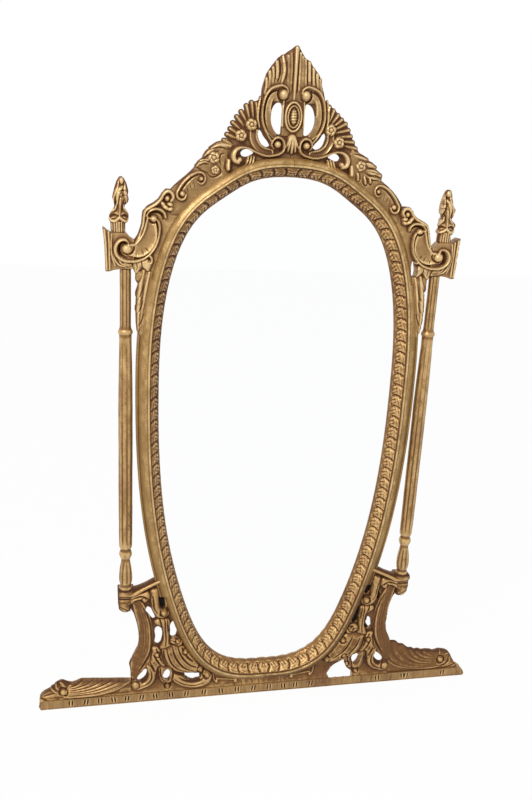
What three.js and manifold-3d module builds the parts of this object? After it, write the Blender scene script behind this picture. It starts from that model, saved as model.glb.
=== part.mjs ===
// Carved giltwood floor mirror: an egg-shaped mirror in a moulded frame, tied to two turned
// columns by carved shoulder brackets and pierced foot panels, on one straight base rail.
// Millimetres, +Z up, +X to the right of a viewer who stands on the -Y side.
// The origin is on the floor, on the middle line, in the plane of the column axes.

import * as THREE from 'three';
import { mergeVertices } from 'three/addons/utils/BufferGeometryUtils.js';
import Module from 'manifold-3d';

const wasm = await Module();
wasm.setup();

// ---------------------------------------------------------------- driving dimensions

const GAP = 0.3; // left between glued or touching pieces

// Egg-shaped sight opening: |x / SIGHT_HALF_WIDTH|^SIDE + |z / reach|^END = 1, above and below
// its widest level.
const SIGHT_HALF_WIDTH = 319.5;
const SIGHT_LEVEL = 933;
const UPPER = { reach: 555, side: 2.8, end: 2.5 };
const LOWER = { reach: 839, side: 2.85, end: 2.2 };
// Waves where the drawn line leaves that curve, as [degrees up from the foot of the egg,
// spread, distance out]: flat at the shoulders and low on the flanks, full beside the foot.
const WAVES = [[155.6, 15.7, -17.4], [43.9, 21.5, -7.2], [18.9, 18.5, 8]];

// Depths (Y). Negative is towards the viewer.
const RIDGE_FRONT = -26;
const GLASS_FRONT = 17.3;
const GLASS_THICKNESS = 4;
const BOARD_THICKNESS = 6;
const FRAME_BACK = 28;
const CARVING_FRONT = -10;
const CARVING_BACK = 12;
const FOOT_FRONT = -8;
const FOOT_BACK = 10;

// Distances out from the sight edge, square to it.
const REBATE = 9.6;
const LINER_WIDTH = 24;
const FRAME_WIDTH = 60;
const CARVED_WIDTH = 44; // of the top and bottom segments, which the carved boards widen

const RAIL = { height: 28, front: -16, back: 14 };
const REAR_FOOT = { near: 308, far: 340, back: 60, thickness: 16, batten: 34, top: 140 };
const COLUMN = { x: 405, bottom: 366.3, top: 1251.7 };
const CAP = { top: 366, halfDepth: 24 };
const BLOCK_HALF_DEPTH = 20;
const FINIAL = { x: 419, bottom: 1340.3, height: 134.7 };
const DOWEL = { radius: 5, length: 36 };

// Ends of the frame segments, as angles round the egg from the right-hand side. Mouldings and
// plates all have a facet edge at 2 degrees and then at every FACET, so they nest.
const FACET = 4;
const SIDE_FROM = -42;
const SIDE_TO = 26;

// Turn buttons, as angles round the egg on the right-hand side.
const BUTTON_ANGLES = { top: 57, middle: 4, bottom: -62 };
const BUTTON = { halfLength: 25, radius: 6.5, thickness: 2, pivotOut: 28 };
const SCREW = { radius: 2, headRadius: 4, headHeight: 1.6, length: 15 };

const HANGER = { x: 343, level: 1172, width: 12, length: 44, sheet: 1.6, knuckle: 3.2 };
const RING = { wire: 1.25, halfWidth: 11, leg: 8 };

// ---------------------------------------------------------------- materials

const finish = (color, roughness, metalness) =>
  new THREE.MeshStandardMaterial({ color, roughness, metalness });
const GILT = finish(0xb08a4e, 0.42, 0.55);
const GILT_LINER = finish(0x8a5f34, 0.5, 0.45);
const MIRROR = finish(0xd9dde0, 0.03, 1);
const BACK_WOOD = finish(0x8d6b45, 0.8, 0);
const BEECH = finish(0xc9a473, 0.7, 0);
const BRASS = finish(0xb5913f, 0.35, 0.9);
const STEEL = finish(0x8b8d90, 0.4, 0.9);

// ---------------------------------------------------------------- joining and cutting

function toSolid(geometry) {
  const bare = geometry.clone();
  bare.deleteAttribute('normal');
  bare.deleteAttribute('uv');
  const merged = mergeVertices(bare, 1e-4);
  return new wasm.Manifold(new wasm.Mesh({
    numProp: 3,
    vertProperties: new Float32Array(merged.attributes.position.array),
    triVerts: new Uint32Array(merged.index.array),
  }));
}

function toGeometry(solid) {
  const mesh = solid.getMesh();
  const geometry = new THREE.BufferGeometry();
  geometry.setAttribute('position', new THREE.BufferAttribute(mesh.vertProperties, 3));
  geometry.setIndex(new THREE.BufferAttribute(mesh.triVerts, 1));
  geometry.computeVertexNormals();
  return geometry;
}

const cut = (body, tools) =>
  toGeometry(tools.reduce((solid, tool) => solid.subtract(toSolid(tool)), toSolid(body)));
const join = (...bodies) =>
  toGeometry(bodies.slice(1).reduce((solid, body) => solid.add(toSolid(body)), toSolid(bodies[0])));

// ---------------------------------------------------------------- the egg

// Point of the sight edge at an angle (degrees) round the egg.
function sightPoint(angle) {
  const radians = THREE.MathUtils.degToRad(angle);
  const half = Math.sin(radians) < 0 ? LOWER : UPPER;
  const across = Math.abs(Math.cos(radians)) ** (2 / half.side);
  const along = Math.abs(Math.sin(radians)) ** (2 / half.end);
  const right = Math.sign(Math.cos(radians));
  const up = Math.sign(Math.sin(radians));
  const normal = new THREE.Vector2(
    right * half.side / SIGHT_HALF_WIDTH * across ** (half.side - 1),
    up * half.end / half.reach * along ** (half.end - 1),
  ).normalize();
  const lift = 90 + THREE.MathUtils.radToDeg(Math.asin(Math.sin(radians)));
  const wave = WAVES.reduce(
    (sum, [at, spread, out]) => sum + out * Math.exp(-(((lift - at) / spread) ** 2)), 0);
  return new THREE.Vector2(
    right * across * SIGHT_HALF_WIDTH + normal.x * wave,
    SIGHT_LEVEL + up * along * half.reach + normal.y * wave,
  );
}

// The same point moved out by `out`, square to the sight edge.
function eggPoint(angle, out = 0) {
  const run = sightPoint(angle + 0.05).sub(sightPoint(angle - 0.05)).normalize();
  return sightPoint(angle).add(new THREE.Vector2(run.y, -run.x).multiplyScalar(out));
}

// The sight edge between two angles, as a path for sections to follow.
class EggPath extends THREE.Curve {
  constructor(from, to) {
    super();
    this.from = from;
    this.to = to;
  }

  getPoint(t) {
    const { x, y } = eggPoint(this.from + (this.to - this.from) * t);
    return new THREE.Vector3(x, 0, y);
  }

  // Steps are even in angle, which sets them closer where the egg turns faster.
  getUtoTmapping(u) {
    return u;
  }
}

// Evenly spread points on a line parallel to the sight edge, as [x, z] pairs.
function eggRun(from, to, out, count) {
  return Array.from({ length: count }, (_, i) => {
    const { x, y } = eggPoint(from + (to - from) * i / (count - 1), out);
    return [x, y];
  });
}

// ---------------------------------------------------------------- general shapes

// Points of a chain of runs of [x, z] points. Each run is one smooth curve, and the runs meet
// at corners. `side` -1 mirrors it to the left.
function chain(runs, side) {
  const points = runs.flatMap((run) => {
    const knots = run.map(([x, z]) => new THREE.Vector2(x * side, z));
    return knots.length > 2 ? new THREE.SplineCurve(knots).getPoints(knots.length * 2) : knots;
  });
  return points.filter((point, i) => point.distanceTo(points.at(i - 1)) > 0.01);
}

// Closed outline, always anticlockwise, so that extruding it turns its holes the right way.
function outline(runs, side = 1) {
  const points = chain(runs, side);
  if (THREE.ShapeUtils.isClockWise(points)) points.reverse();
  return new THREE.Shape(points);
}

// Smooth closed hole through points in order.
const hole = (points, side = 1) => new THREE.Path(chain([[...points, points[0]]], side));

// A front-view shape sawn from a board that lies between two depths.
function board(shape, front, back, curveSegments = 6) {
  const geometry = new THREE.ExtrudeGeometry(shape, {
    depth: back - front, bevelEnabled: false, curveSegments,
  });
  return geometry.rotateX(Math.PI / 2).translate(0, back, 0);
}

// A box between two corners.
function block([x0, y0, z0], [x1, y1, z1]) {
  return new THREE.BoxGeometry(x1 - x0, y1 - y0, z1 - z0)
    .translate((x0 + x1) / 2, (y0 + y1) / 2, (z0 + z1) / 2);
}

// A turned piece from [radius, z] pairs, closed on the axis at both ends.
function turned(profile, segments) {
  const points = profile.map(([r, z]) => new THREE.Vector2(r, z));
  return new THREE.LatheGeometry(points, segments).rotateX(Math.PI / 2);
}

// A rod along Z between two levels.
const rod = (radius, from, to, segments = 16) =>
  turned([[0, from], [radius, from], [radius, to], [0, to]], segments);

// A moulding section of [out, y] pairs, carried round the egg and cut off at glue joints.
function moulding(section, from, to, joint) {
  const shape = new THREE.Shape(section.map(([out, y]) => new THREE.Vector2(-y, out)));
  return new THREE.ExtrudeGeometry(shape, {
    steps: (to - from) / FACET,
    bevelEnabled: false,
    extrudePath: new EggPath(from + joint, to - joint),
  });
}

const group = new THREE.Group();

function add(name, geometry, material, place = [0, 0, 0], turn = 0) {
  const mesh = new THREE.Mesh(geometry, material);
  mesh.name = name;
  mesh.position.set(...place);
  mesh.rotation.y = turn;
  group.add(mesh);
}

const SIDES = [['left', -1], ['right', 1]];

// ---------------------------------------------------------------- screws and what they hold

// Pose of a thing on the frame's back at an angle round the egg.
function onFrameBack(angle, side, out) {
  const at = eggPoint(angle, out);
  const edge = eggPoint(angle, out + 1);
  return {
    x: at.x * side,
    z: at.y,
    turn: Math.atan2((edge.x - at.x) * side, edge.y - at.y),
  };
}

// Screw hole in the frame's back.
function pilotHole(x, z) {
  return rod(SCREW.radius + GAP, 0, SCREW.length + 2)
    .rotateX(Math.PI / 2)
    .translate(x, FRAME_BACK + 1, z);
}

function turnButton() {
  const { halfLength, radius, thickness } = BUTTON;
  const shape = new THREE.Shape();
  shape.absarc(0, halfLength - radius, radius, 0, Math.PI);
  shape.absarc(0, radius - halfLength, radius, Math.PI, 2 * Math.PI);
  shape.closePath();
  const screwHole = new THREE.Path();
  screwHole.absarc(0, 0, SCREW.radius + GAP, 0, 2 * Math.PI);
  shape.holes.push(screwHole);
  return board(shape, 0, thickness);
}

// Round-headed screw: head towards +Y, the underside of the head at y = 0.
function roundScrew() {
  const { radius, headRadius, headHeight, length } = SCREW;
  return turned([
    [0, -length], [radius, 3 - length], [radius, 0], [headRadius, 0],
    [headRadius * 0.8, headHeight * 0.7], [0, headHeight],
  ], 14).rotateX(-Math.PI / 2);
}

// Countersunk screw: flat head towards +Y, flush at y = 0.
function flatScrew() {
  const { radius, headRadius, length } = SCREW;
  return turned([
    [0, -length], [radius, 3 - length], [radius, radius - headRadius], [headRadius, 0], [0, 0],
  ], 14).rotateX(-Math.PI / 2);
}

const strapScrewLevels = [HANGER.level - 13, HANGER.level - 34];

function addTurnButtons() {
  for (const [hand, side] of SIDES) {
    for (const [place, angle] of Object.entries(BUTTON_ANGLES)) {
      const { x, z, turn } = onFrameBack(angle, side, BUTTON.pivotOut);
      const buttonBack = FRAME_BACK + GAP + BUTTON.thickness;
      add(`turn_button_${place}_${hand}`, turnButton(), BRASS, [x, FRAME_BACK + GAP, z], turn);
      add(`button_screw_${place}_${hand}`, roundScrew(), STEEL, [x, buttonBack + GAP, z]);
    }
  }
}

// Strap with a knuckle rolled at its top, round the ring's straight bar.
function hangerStrap(x) {
  const { level, width, length, sheet, knuckle } = HANGER;
  const back = FRAME_BACK + GAP;
  const plate = block([x - width / 2, back, level - length], [x + width / 2, back + sheet, level]);
  const roll = rod(knuckle, -width / 2, width / 2, 20)
    .rotateY(Math.PI / 2).translate(x, back + knuckle, level);
  const bore = rod(RING.wire + GAP, -width, width, 16)
    .rotateY(Math.PI / 2).translate(x, back + knuckle, level);
  const sinks = strapScrewLevels.map((z) => turned([
    [0, -6], [SCREW.radius + GAP, -6], [SCREW.radius + GAP, SCREW.radius - SCREW.headRadius],
    [SCREW.headRadius + GAP, 0], [SCREW.headRadius + GAP, 2], [0, 2],
  ], 14).rotateX(-Math.PI / 2).translate(x, back + sheet, z));
  return cut(join(plate, roll), [bore, ...sinks]);
}

// D-ring: a bar through the knuckle, and a loop that hangs from its ends.
function hangerRing(x) {
  const { wire, halfWidth, leg } = RING;
  const loop = new THREE.CurvePath();
  const arc = new THREE.CatmullRomCurve3(Array.from({ length: 13 }, (_, i) => {
    const a = Math.PI * i / 12;
    return new THREE.Vector3(halfWidth * Math.cos(a), 0, -leg - halfWidth * Math.sin(a));
  }));
  loop.add(new THREE.LineCurve3(new THREE.Vector3(halfWidth, 0, 0), arc.getPoint(0)));
  loop.add(arc);
  loop.add(new THREE.LineCurve3(arc.getPoint(1), new THREE.Vector3(-halfWidth, 0, 0)));
  const section = new THREE.Shape().absarc(0, 0, wire, 0, 2 * Math.PI);
  const tube = new THREE.ExtrudeGeometry(section, {
    steps: 28, bevelEnabled: false, curveSegments: 5, extrudePath: loop,
  });
  const bar = rod(wire, -halfWidth - wire * 0.7, halfWidth + wire * 0.7, 12).rotateY(Math.PI / 2);
  return join(tube, bar).translate(x, FRAME_BACK + GAP + HANGER.knuckle, HANGER.level);
}

function addHangers() {
  for (const [hand, side] of SIDES) {
    const x = HANGER.x * side;
    add(`hanger_strap_${hand}`, hangerStrap(x), STEEL);
    add(`hanger_ring_${hand}`, hangerRing(x), STEEL);
    strapScrewLevels.forEach((z, i) => {
      const place = i === 0 ? 'upper' : 'lower';
      const flush = FRAME_BACK + GAP + HANGER.sheet;
      add(`hanger_screw_${place}_${hand}`, flatScrew(), STEEL, [x, flush, z]);
    });
  }
}

// ---------------------------------------------------------------- the oval

// Back rebate, seat for the liner, ridge bead, and as much of the long cove as the width takes.
function frameSection(width) {
  const cove = [[35, -22.5], [42, -14.5], [44, -12.5], [50, -6.5], [57, -1.5], [60, 1]];
  return [
    [REBATE, FRAME_BACK], [REBATE, GLASS_FRONT], [LINER_WIDTH + GAP, GLASS_FRONT],
    [LINER_WIDTH + GAP, -22], [26.5, RIDGE_FRONT], [31, RIDGE_FRONT],
    ...cove.filter(([out]) => out <= width),
    [width, FRAME_BACK - 4], [width - 4, FRAME_BACK],
  ];
}

// Sight lip, sloping carved face and the back that lies on the glass.
const LINER_SECTION = [
  [0, GLASS_FRONT - GAP], [0, 9], [13, -8], [LINER_WIDTH, -21], [LINER_WIDTH, GLASS_FRONT - GAP],
];

function addOvalFrame() {
  const joint = 0.03; // half the glue line between segments, in degrees
  for (const [hand, side] of SIDES) {
    const spans = { top: [SIDE_TO, 90], side: [SIDE_FROM, SIDE_TO], bottom: [-90, SIDE_FROM] };
    for (const [place, [low, high]] of Object.entries(spans)) {
      const [from, to] = side > 0 ? [low, high] : [180 - high, 180 - low];
      const section = frameSection(place === 'side' ? FRAME_WIDTH : CARVED_WIDTH);
      const body = moulding(section, from, to, joint);
      const holes = Object.values(BUTTON_ANGLES)
        .filter((angle) => angle > low && angle < high)
        .map((angle) => onFrameBack(angle, side, BUTTON.pivotOut))
        .map(({ x, z }) => pilotHole(x, z));
      if (place === 'side') {
        holes.push(...strapScrewLevels.map((z) => pilotHole(HANGER.x * side, z)));
      }
      add(`frame_${place}_${hand}`, cut(body, holes), GILT);
    }
  }
}

function addLiner() {
  const joint = 0.05;
  const spans = { top: [38, 142], left: [142, 226], bottom: [226, 314], right: [-46, 38] };
  for (const [place, [from, to]] of Object.entries(spans)) {
    add(`liner_${place}`, moulding(LINER_SECTION, from, to, joint), GILT_LINER);
  }
}

function addGlassAndBoard() {
  const plate = (thickness) => {
    const shape = new THREE.Shape();
    eggRun(2, 362 - FACET, REBATE - 2 * GAP, 360 / FACET).forEach(([x, z], i) => {
      if (i === 0) shape.moveTo(x, z);
      else shape.lineTo(x, z);
    });
    return board(shape, 0, thickness);
  };
  const boardFront = GLASS_FRONT + GLASS_THICKNESS + GAP;
  add('mirror_glass', plate(GLASS_THICKNESS), MIRROR, [0, GLASS_FRONT, 0]);
  add('back_board', plate(BOARD_THICKNESS), BACK_WOOD, [0, boardFront, 0]);
}

// ---------------------------------------------------------------- crest

const CREST_JOINT = 74; // angle round the egg where crest panel and crest wings meet
const BRACKET_JOINT = 47.5;
const CREST_CORNER = [166, 1563];
const BRACKET_CORNER = [320, 1424];

// Right half of the plume and the side fan, from the tip down to the joint with the wing.
const CREST_EDGE = [
  [0, 1788], [10, 1779], [19, 1769], [32, 1762], [43, 1749], [53, 1737], [62, 1725], [66, 1709],
  [70, 1694], [77, 1675], [80, 1667], [91, 1661], [94, 1652], [104, 1649], [108, 1641],
  [117, 1638], [121, 1630], [130, 1626], [132, 1617], [140, 1612], [141, 1603], [149, 1597],
  [149, 1587], [158, 1580], [157, 1571], CREST_CORNER,
];

function crestPanel() {
  const mirrored = CREST_EDGE.slice(1).reverse().map(([x, z]) => [-x, z]);
  const seat = eggRun(CREST_JOINT, 180 - CREST_JOINT, CARVED_WIDTH + GAP, 33);
  const shape = outline([...mirrored.map((p) => [p]), ...CREST_EDGE.map((p) => [p]), seat]);
  for (const [, side] of SIDES) {
    shape.holes.push(
      hole([[28, 1653], [36, 1656], [45, 1650], [54, 1628], [51, 1606], [42, 1591], [34, 1587], [28, 1592]], side),
      hole([[67, 1596], [77, 1592], [82, 1572], [72, 1557], [56, 1556], [60, 1574]], side),
      hole([[93, 1541], [103, 1548], [118, 1547], [130, 1539], [120, 1532], [104, 1535]], side),
    );
  }
  return board(shape, CARVING_FRONT, CARVING_BACK);
}

// Low oval boss on the front of the crest panel.
function crestCabochon() {
  const dome = turned([[0, 0], [12, 0], [11, 4], [7.5, 7], [0, 8.5]], 20).rotateX(Math.PI / 2);
  return dome.scale(1, 1, 27 / 12).translate(0, CARVING_FRONT - GAP, 1626);
}

// Flower cluster and scroll moulding on the shoulder of the oval.
function crestWing(side) {
  const edge = [
    [CREST_CORNER[0] + GAP, CREST_CORNER[1] - GAP], [180, 1555], [191, 1545], [206, 1533],
    [218, 1522], [226, 1510], [236, 1496], [252, 1478], [276, 1458], [290, 1444],
  ];
  const volute = [[290, 1444], [300, 1442], [311, 1437], BRACKET_CORNER];
  const seat = eggRun(BRACKET_JOINT, CREST_JOINT - 0.1, CARVED_WIDTH + GAP, 27);
  return board(outline([edge, volute, seat], side), CARVING_FRONT, CARVING_BACK);
}

// Notched batten glued behind the crest panel and the top of the frame.
function crestCleat() {
  const halfWidth = 17;
  const frameTop = SIGHT_LEVEL + UPPER.reach + CARVED_WIDTH + 1;
  const upper = block([-halfWidth, CARVING_BACK + GAP, frameTop], [halfWidth, 44, 1690]);
  const lower = block([-halfWidth, FRAME_BACK + GAP, 1502], [halfWidth, 44, frameTop + 1]);
  return join(upper, lower);
}

function addCrest() {
  add('crest_panel', crestPanel(), GILT);
  add('crest_cabochon', crestCabochon(), GILT);
  for (const [hand, side] of SIDES) add(`crest_wing_${hand}`, crestWing(side), GILT);
  add('crest_cleat', crestCleat(), BACK_WOOD);
}

// ---------------------------------------------------------------- shoulders

// Hole for a dowel whose middle is at a level.
const dowelHole = (x, level) =>
  rod(DOWEL.radius + GAP, level - DOWEL.length / 2 - GAP, level + DOWEL.length / 2 + GAP)
    .translate(x, 0, 0);

// C-scroll towards the oval, and the thick volute block with its flared fin.
function shoulderBracket(side) {
  const lap = [eggPoint(SIDE_TO + 0.1, FRAME_WIDTH + GAP).toArray()];
  const seat = eggRun(SIDE_TO + 0.1, BRACKET_JOINT - 0.1, CARVED_WIDTH + GAP, 22);
  const scroll = outline([
    [BRACKET_CORNER, [333, 1413], [347, 1403], [358, 1393], [366, 1381], [370, 1366],
      [370, 1352], [376, 1338], [383, 1325]],
    [[383, 1325], [384, 1252]],
    [[384, 1252], [379, 1240], [373, 1247]],
    [[373, 1247], [368, 1241], [361, 1236], [355, 1239]],
    lap,
    seat,
  ], side);
  if (side > 0) {
    scroll.holes.push(hole([[352, 1276], [358, 1272], [361, 1261], [358, 1250], [355, 1251], [353, 1262]], side));
  }
  const volute = outline([
    [[382.5, 1325], [392, 1332], [401, FINIAL.bottom - GAP]],
    [[441, FINIAL.bottom - GAP]],
    [[446, 1341], [459, 1350]],
    [[459, 1350], [455, 1320], [453, 1285], [453, 1245]],
    [[453, 1245], [441, 1246], [430, 1250], [422, COLUMN.top + GAP]],
    [[383.5, COLUMN.top + GAP]],
  ], side);
  return cut(
    join(board(scroll, CARVING_FRONT, CARVING_BACK), board(volute, -BLOCK_HALF_DEPTH, BLOCK_HALF_DEPTH)),
    [dowelHole(COLUMN.x * side, COLUMN.top), dowelHole(FINIAL.x * side, FINIAL.bottom)],
  );
}

// Scalloped leaf that tapers down the outer edge of the oval.
function leafDrop(side) {
  const scallops = [[377, 1111], [379, 1130], [377, 1137], [381, 1152], [377, 1162], [382, 1176],
    [378, 1188], [383, 1203], [379, 1213], [382, 1226], [377, 1234]];
  const seat = eggRun(25.4, 13, FRAME_WIDTH + GAP, 7);
  return board(outline([seat, scallops], side), -8, 10);
}

// Flame finial: neck, lipped collar, waist and bud.
function finial(side) {
  const profile = [
    [0, 0], [17, 0], [17.5, 28], [22, 34], [23, 44], [21.5, 58], [14.5, 68], [13.5, 78],
    [18.5, 92], [16, 110], [11.5, 122], [5, 132], [0, FINIAL.height],
  ];
  const body = turned(profile, 20).scale(1, 0.85, 1).translate(FINIAL.x * side, 0, FINIAL.bottom);
  return cut(body, [dowelHole(FINIAL.x * side, FINIAL.bottom)]);
}

function addShoulders() {
  for (const [hand, side] of SIDES) {
    add(`shoulder_bracket_${hand}`, shoulderBracket(side), GILT);
    add(`leaf_drop_${hand}`, leafDrop(side), GILT);
    add(`finial_${hand}`, finial(side), GILT);
  }
}

// ---------------------------------------------------------------- columns and dowels

// Turned column: cushion foot, vase baluster, bead, long shaft, ring and slim top.
const COLUMN_PROFILE = [
  [0, 366.3], [15.5, 366.3], [18, 370.5], [15.5, 376], [14.5, 379], [17, 388], [18, 408],
  [16.5, 430], [12.5, 452], [11.5, 460], [14.5, 464], [17.5, 475], [15, 485], [13.5, 489],
  [17.5, 496], [18.5, 560], [18.5, 900], [15.5, 1068], [15.5, 1090], [18.5, 1092], [18.5, 1098],
  [15, 1101], [14, 1110], [14, COLUMN.top], [0, COLUMN.top],
];

function column(side) {
  const body = turned(COLUMN_PROFILE, 20).translate(COLUMN.x * side, 0, 0);
  return cut(body, [COLUMN.bottom, COLUMN.top].map((level) => dowelHole(COLUMN.x * side, level)));
}

function addColumns() {
  for (const [hand, side] of SIDES) {
    const dowel = (level, x) => rod(DOWEL.radius, level - DOWEL.length / 2, level + DOWEL.length / 2, 12)
      .translate(x * side, 0, 0);
    add(`column_${hand}`, column(side), GILT);
    add(`column_foot_dowel_${hand}`, dowel(COLUMN.bottom, COLUMN.x), BEECH);
    add(`column_top_dowel_${hand}`, dowel(COLUMN.top, COLUMN.x), BEECH);
    add(`finial_dowel_${hand}`, dowel(FINIAL.bottom, FINIAL.x), BEECH);
  }
}

// ---------------------------------------------------------------- feet and base

const CAP_UNDERSIDE = [[396, 352], [380, 354], [365, 358], [350, 362], [337, 366]];

// Shelf that the column stands on: thin where it meets the oval, deep under the column.
function footCap(side) {
  const arm = outline([
    [[333, 386], [340, 383], [350, 377], [370, 368], [390, CAP.top]],
    [[390, CAP.top], [396, CAP.top]],
    CAP_UNDERSIDE,
    [[337, 366], [329, 367.5]],
  ], side);
  const shelf = outline([
    [[385, CAP.top], [424, CAP.top]],
    [[427, 362], [427, 356]],
    [[425, 352], [426, 330], [424, 306], [414, 297], [402, 295], [392, 299]],
    [[392, 299], [392, 352]],
    [[385, 353]],
  ], side);
  return cut(
    join(board(arm, CARVING_FRONT, CARVING_BACK), board(shelf, -CAP.halfDepth, CAP.halfDepth)),
    [dowelHole(COLUMN.x * side, COLUMN.bottom)],
  );
}

const WING_JOINT = 391; // X where foot panels and base wings meet

// Openings between the scrolls of a foot panel, from the top down.
const FOOT_OPENINGS = [
  [[311, 325], [305, 331], [302, 320], [297, 300], [299, 293], [304, 298], [309, 312]],
  [[347, 300], [342, 301], [333, 288], [325, 265], [330, 262], [340, 280]],
  [[320, 235], [314, 236], [305, 228], [302, 205], [303, 183], [311, 173], [319, 177]],
  [[279, 246], [273.5, 247], [266, 230], [261, 214], [262, 202], [268, 194], [276, 197]],
  [[350, 100], [347, 92], [346, 75], [356, 62], [371, 56], [374, 63], [362, 80]],
  [[287, 97], [280, 90], [277, 70], [279, 55], [287, 52], [297, 55], [298, 75], [294, 88]],
];
// Slot over the long scroll, and on the right the gap where that scroll is lost.
const SLOT = [[243, 72], [225, 68], [205, 66], [192, 60], [198, 54], [222, 50], [236, 56]];
const LOSS = { from: 203, to: 280, back: 6 };

// Pierced panel between the shelf, the oval and the rail.
function footPanel(side) {
  const foot = RAIL.height + GAP;
  const corner = WING_JOINT - GAP;
  const outer = [[388, 297], [383, 285], [381, 268], [375, 248], [371, 218], [371, 188],
    [374, 168], [379, 153]];
  const heel = side < 0
    ? [[379, 153], [388, 136], [395, 118], [392, 98], [corner, 76]]
    : [[379, 153], [384, 143], [corner, 134]];
  const seat = eggRun(-89, SIDE_FROM - 0.15, CARVED_WIDTH + GAP, 48);
  const lap = eggRun(SIDE_FROM - 0.15, SIDE_FROM + 2.4, FRAME_WIDTH + GAP, 3);
  const top = CAP_UNDERSIDE.map(([x, z]) => [x, z - 2 * GAP]).slice(1).reverse();
  const gap = side > 0
    ? [[[LOSS.to, foot], [280, 34], [268, 45], [256, 55], [251, 70], [252, 79]],
      [[252, 79], [240, 77], [222, 67], [208, 52], [LOSS.from, foot]]]
    : [];
  const shape = outline([
    [[GAP, foot], [GAP, eggPoint(-90, CARVED_WIDTH + GAP).y]],
    seat,
    lap,
    [...top, [391, 351.4 - GAP]],
    [[391, 302]],
    outer,
    heel,
    [[corner, foot]],
    ...gap,
  ], side);
  const openings = side > 0 ? FOOT_OPENINGS : [...FOOT_OPENINGS, SLOT];
  shape.holes.push(...openings.map((points) => hole(points, side)));
  return board(shape, FOOT_FRONT, FOOT_BACK);
}

// Low foot behind the rail with a batten up the back of the foot panel, from one board.
function rearFoot(side) {
  const { near, far, back, thickness, batten, top } = REAR_FOOT;
  const [x0, x1] = [near * side, far * side].sort((a, b) => a - b);
  const behindRail = block([x0, RAIL.back + GAP, 0], [x1, back, thickness]);
  const riser = block([x0, RAIL.back + GAP, thickness - 1], [x1, batten, RAIL.height + GAP + 1]);
  const behindPanel = block([x0, FOOT_BACK + GAP, RAIL.height + GAP], [x1, batten, top]);
  return join(behindRail, riser, behindPanel);
}

// Long rail with rounded ends, splintered away at the back where the scroll is lost.
function baseRail() {
  const top = RAIL.height;
  const shape = outline([
    [[-643, 0], [641, 0]],
    [[645, 6], [640, 18], [628, top]],
    [[-632, top]],
    [[-644, 22], [-648, 12], [-643, 0]],
  ]);
  const splinter = new THREE.Shape([
    new THREE.Vector2(RAIL.front + 3, top), new THREE.Vector2(RAIL.front + 3, top + 5),
    new THREE.Vector2(RAIL.back + 5, top + 5), new THREE.Vector2(RAIL.back + 5, LOSS.back),
  ]);
  const wedge = new THREE.ExtrudeGeometry(splinter, { depth: LOSS.to - LOSS.from, bevelEnabled: false })
    .rotateX(Math.PI / 2).rotateZ(Math.PI / 2).translate(LOSS.from, 0, 0);
  return cut(board(shape, RAIL.front, RAIL.back), [wedge]);
}

// Shell-ribbed carvings that lie along the rail. The two are carved by hand and differ.
const WING_EDGES = {
  right: [[WING_JOINT, 129], [412, 127], [429, 122], [434, 113], [445, 112], [460, 104], [466, 98],
    [476, 92], [486, 87], [501, 85], [531, 79], [546, 75], [561, 73], [567, 77], [581, 78],
    [596, 72], [606, 65], [612, 50], [623, RAIL.height + GAP]],
  left: [[WING_JOINT, 61], [442, 68], [482, 74], [520, 77], [535, 76], [545, 68], [555, 65],
    [568, 69], [580, 78], [590, 78], [602, 70], [612, 60], [622, 44], [631, RAIL.height + GAP]],
};

function baseWing(hand, side) {
  const edge = WING_EDGES[hand];
  const foot = RAIL.height + GAP;
  const shape = outline([[[WING_JOINT, foot], edge[0]], edge], side);
  return board(shape, FOOT_FRONT, FOOT_BACK);
}

function addBase() {
  add('base_rail', baseRail(), GILT);
  for (const [hand, side] of SIDES) {
    add(`foot_cap_${hand}`, footCap(side), GILT);
    add(`foot_panel_${hand}`, footPanel(side), GILT);
    add(`rear_foot_${hand}`, rearFoot(side), BACK_WOOD);
    add(`base_wing_${hand}`, baseWing(hand, side), GILT);
  }
}

addOvalFrame();
addLiner();
addGlassAndBoard();
addCrest();
addShoulders();
addColumns();
addBase();
addTurnButtons();
addHangers();

export default group;
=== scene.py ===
"""Looks of a carved giltwood floor mirror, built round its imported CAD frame.

An egg-shaped mirror in a moulded frame is tied to two turned columns by carved brackets and
pierced foot panels. Carved boards are height fields in the front plane, mouldings are sections
carried round the egg, and turned pieces are radii round a post. Lengths in this file are
millimetres until add_piece() turns them into metres.
"""

import math

import bpy
import numpy as np
from bpy.props import FloatProperty, FloatVectorProperty, PointerProperty
from bpy.types import Operator, Panel, PropertyGroup
from mathutils import Matrix, Vector


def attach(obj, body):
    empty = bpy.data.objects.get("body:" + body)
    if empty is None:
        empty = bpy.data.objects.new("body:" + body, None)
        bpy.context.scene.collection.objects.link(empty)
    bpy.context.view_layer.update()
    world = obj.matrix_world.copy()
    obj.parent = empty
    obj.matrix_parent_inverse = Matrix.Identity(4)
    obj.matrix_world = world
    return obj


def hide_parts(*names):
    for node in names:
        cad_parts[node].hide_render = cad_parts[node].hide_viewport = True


bl_info = {
    "name": "Carved Giltwood Floor Mirror",
    "version": (1, 0, 0),
    "blender": (4, 5, 0),
    "location": "View3D > Sidebar > Mirror",
    "description": "Carvings, mouldings and finishes of an oval floor mirror on two columns",
    "category": "Object",
}

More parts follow.
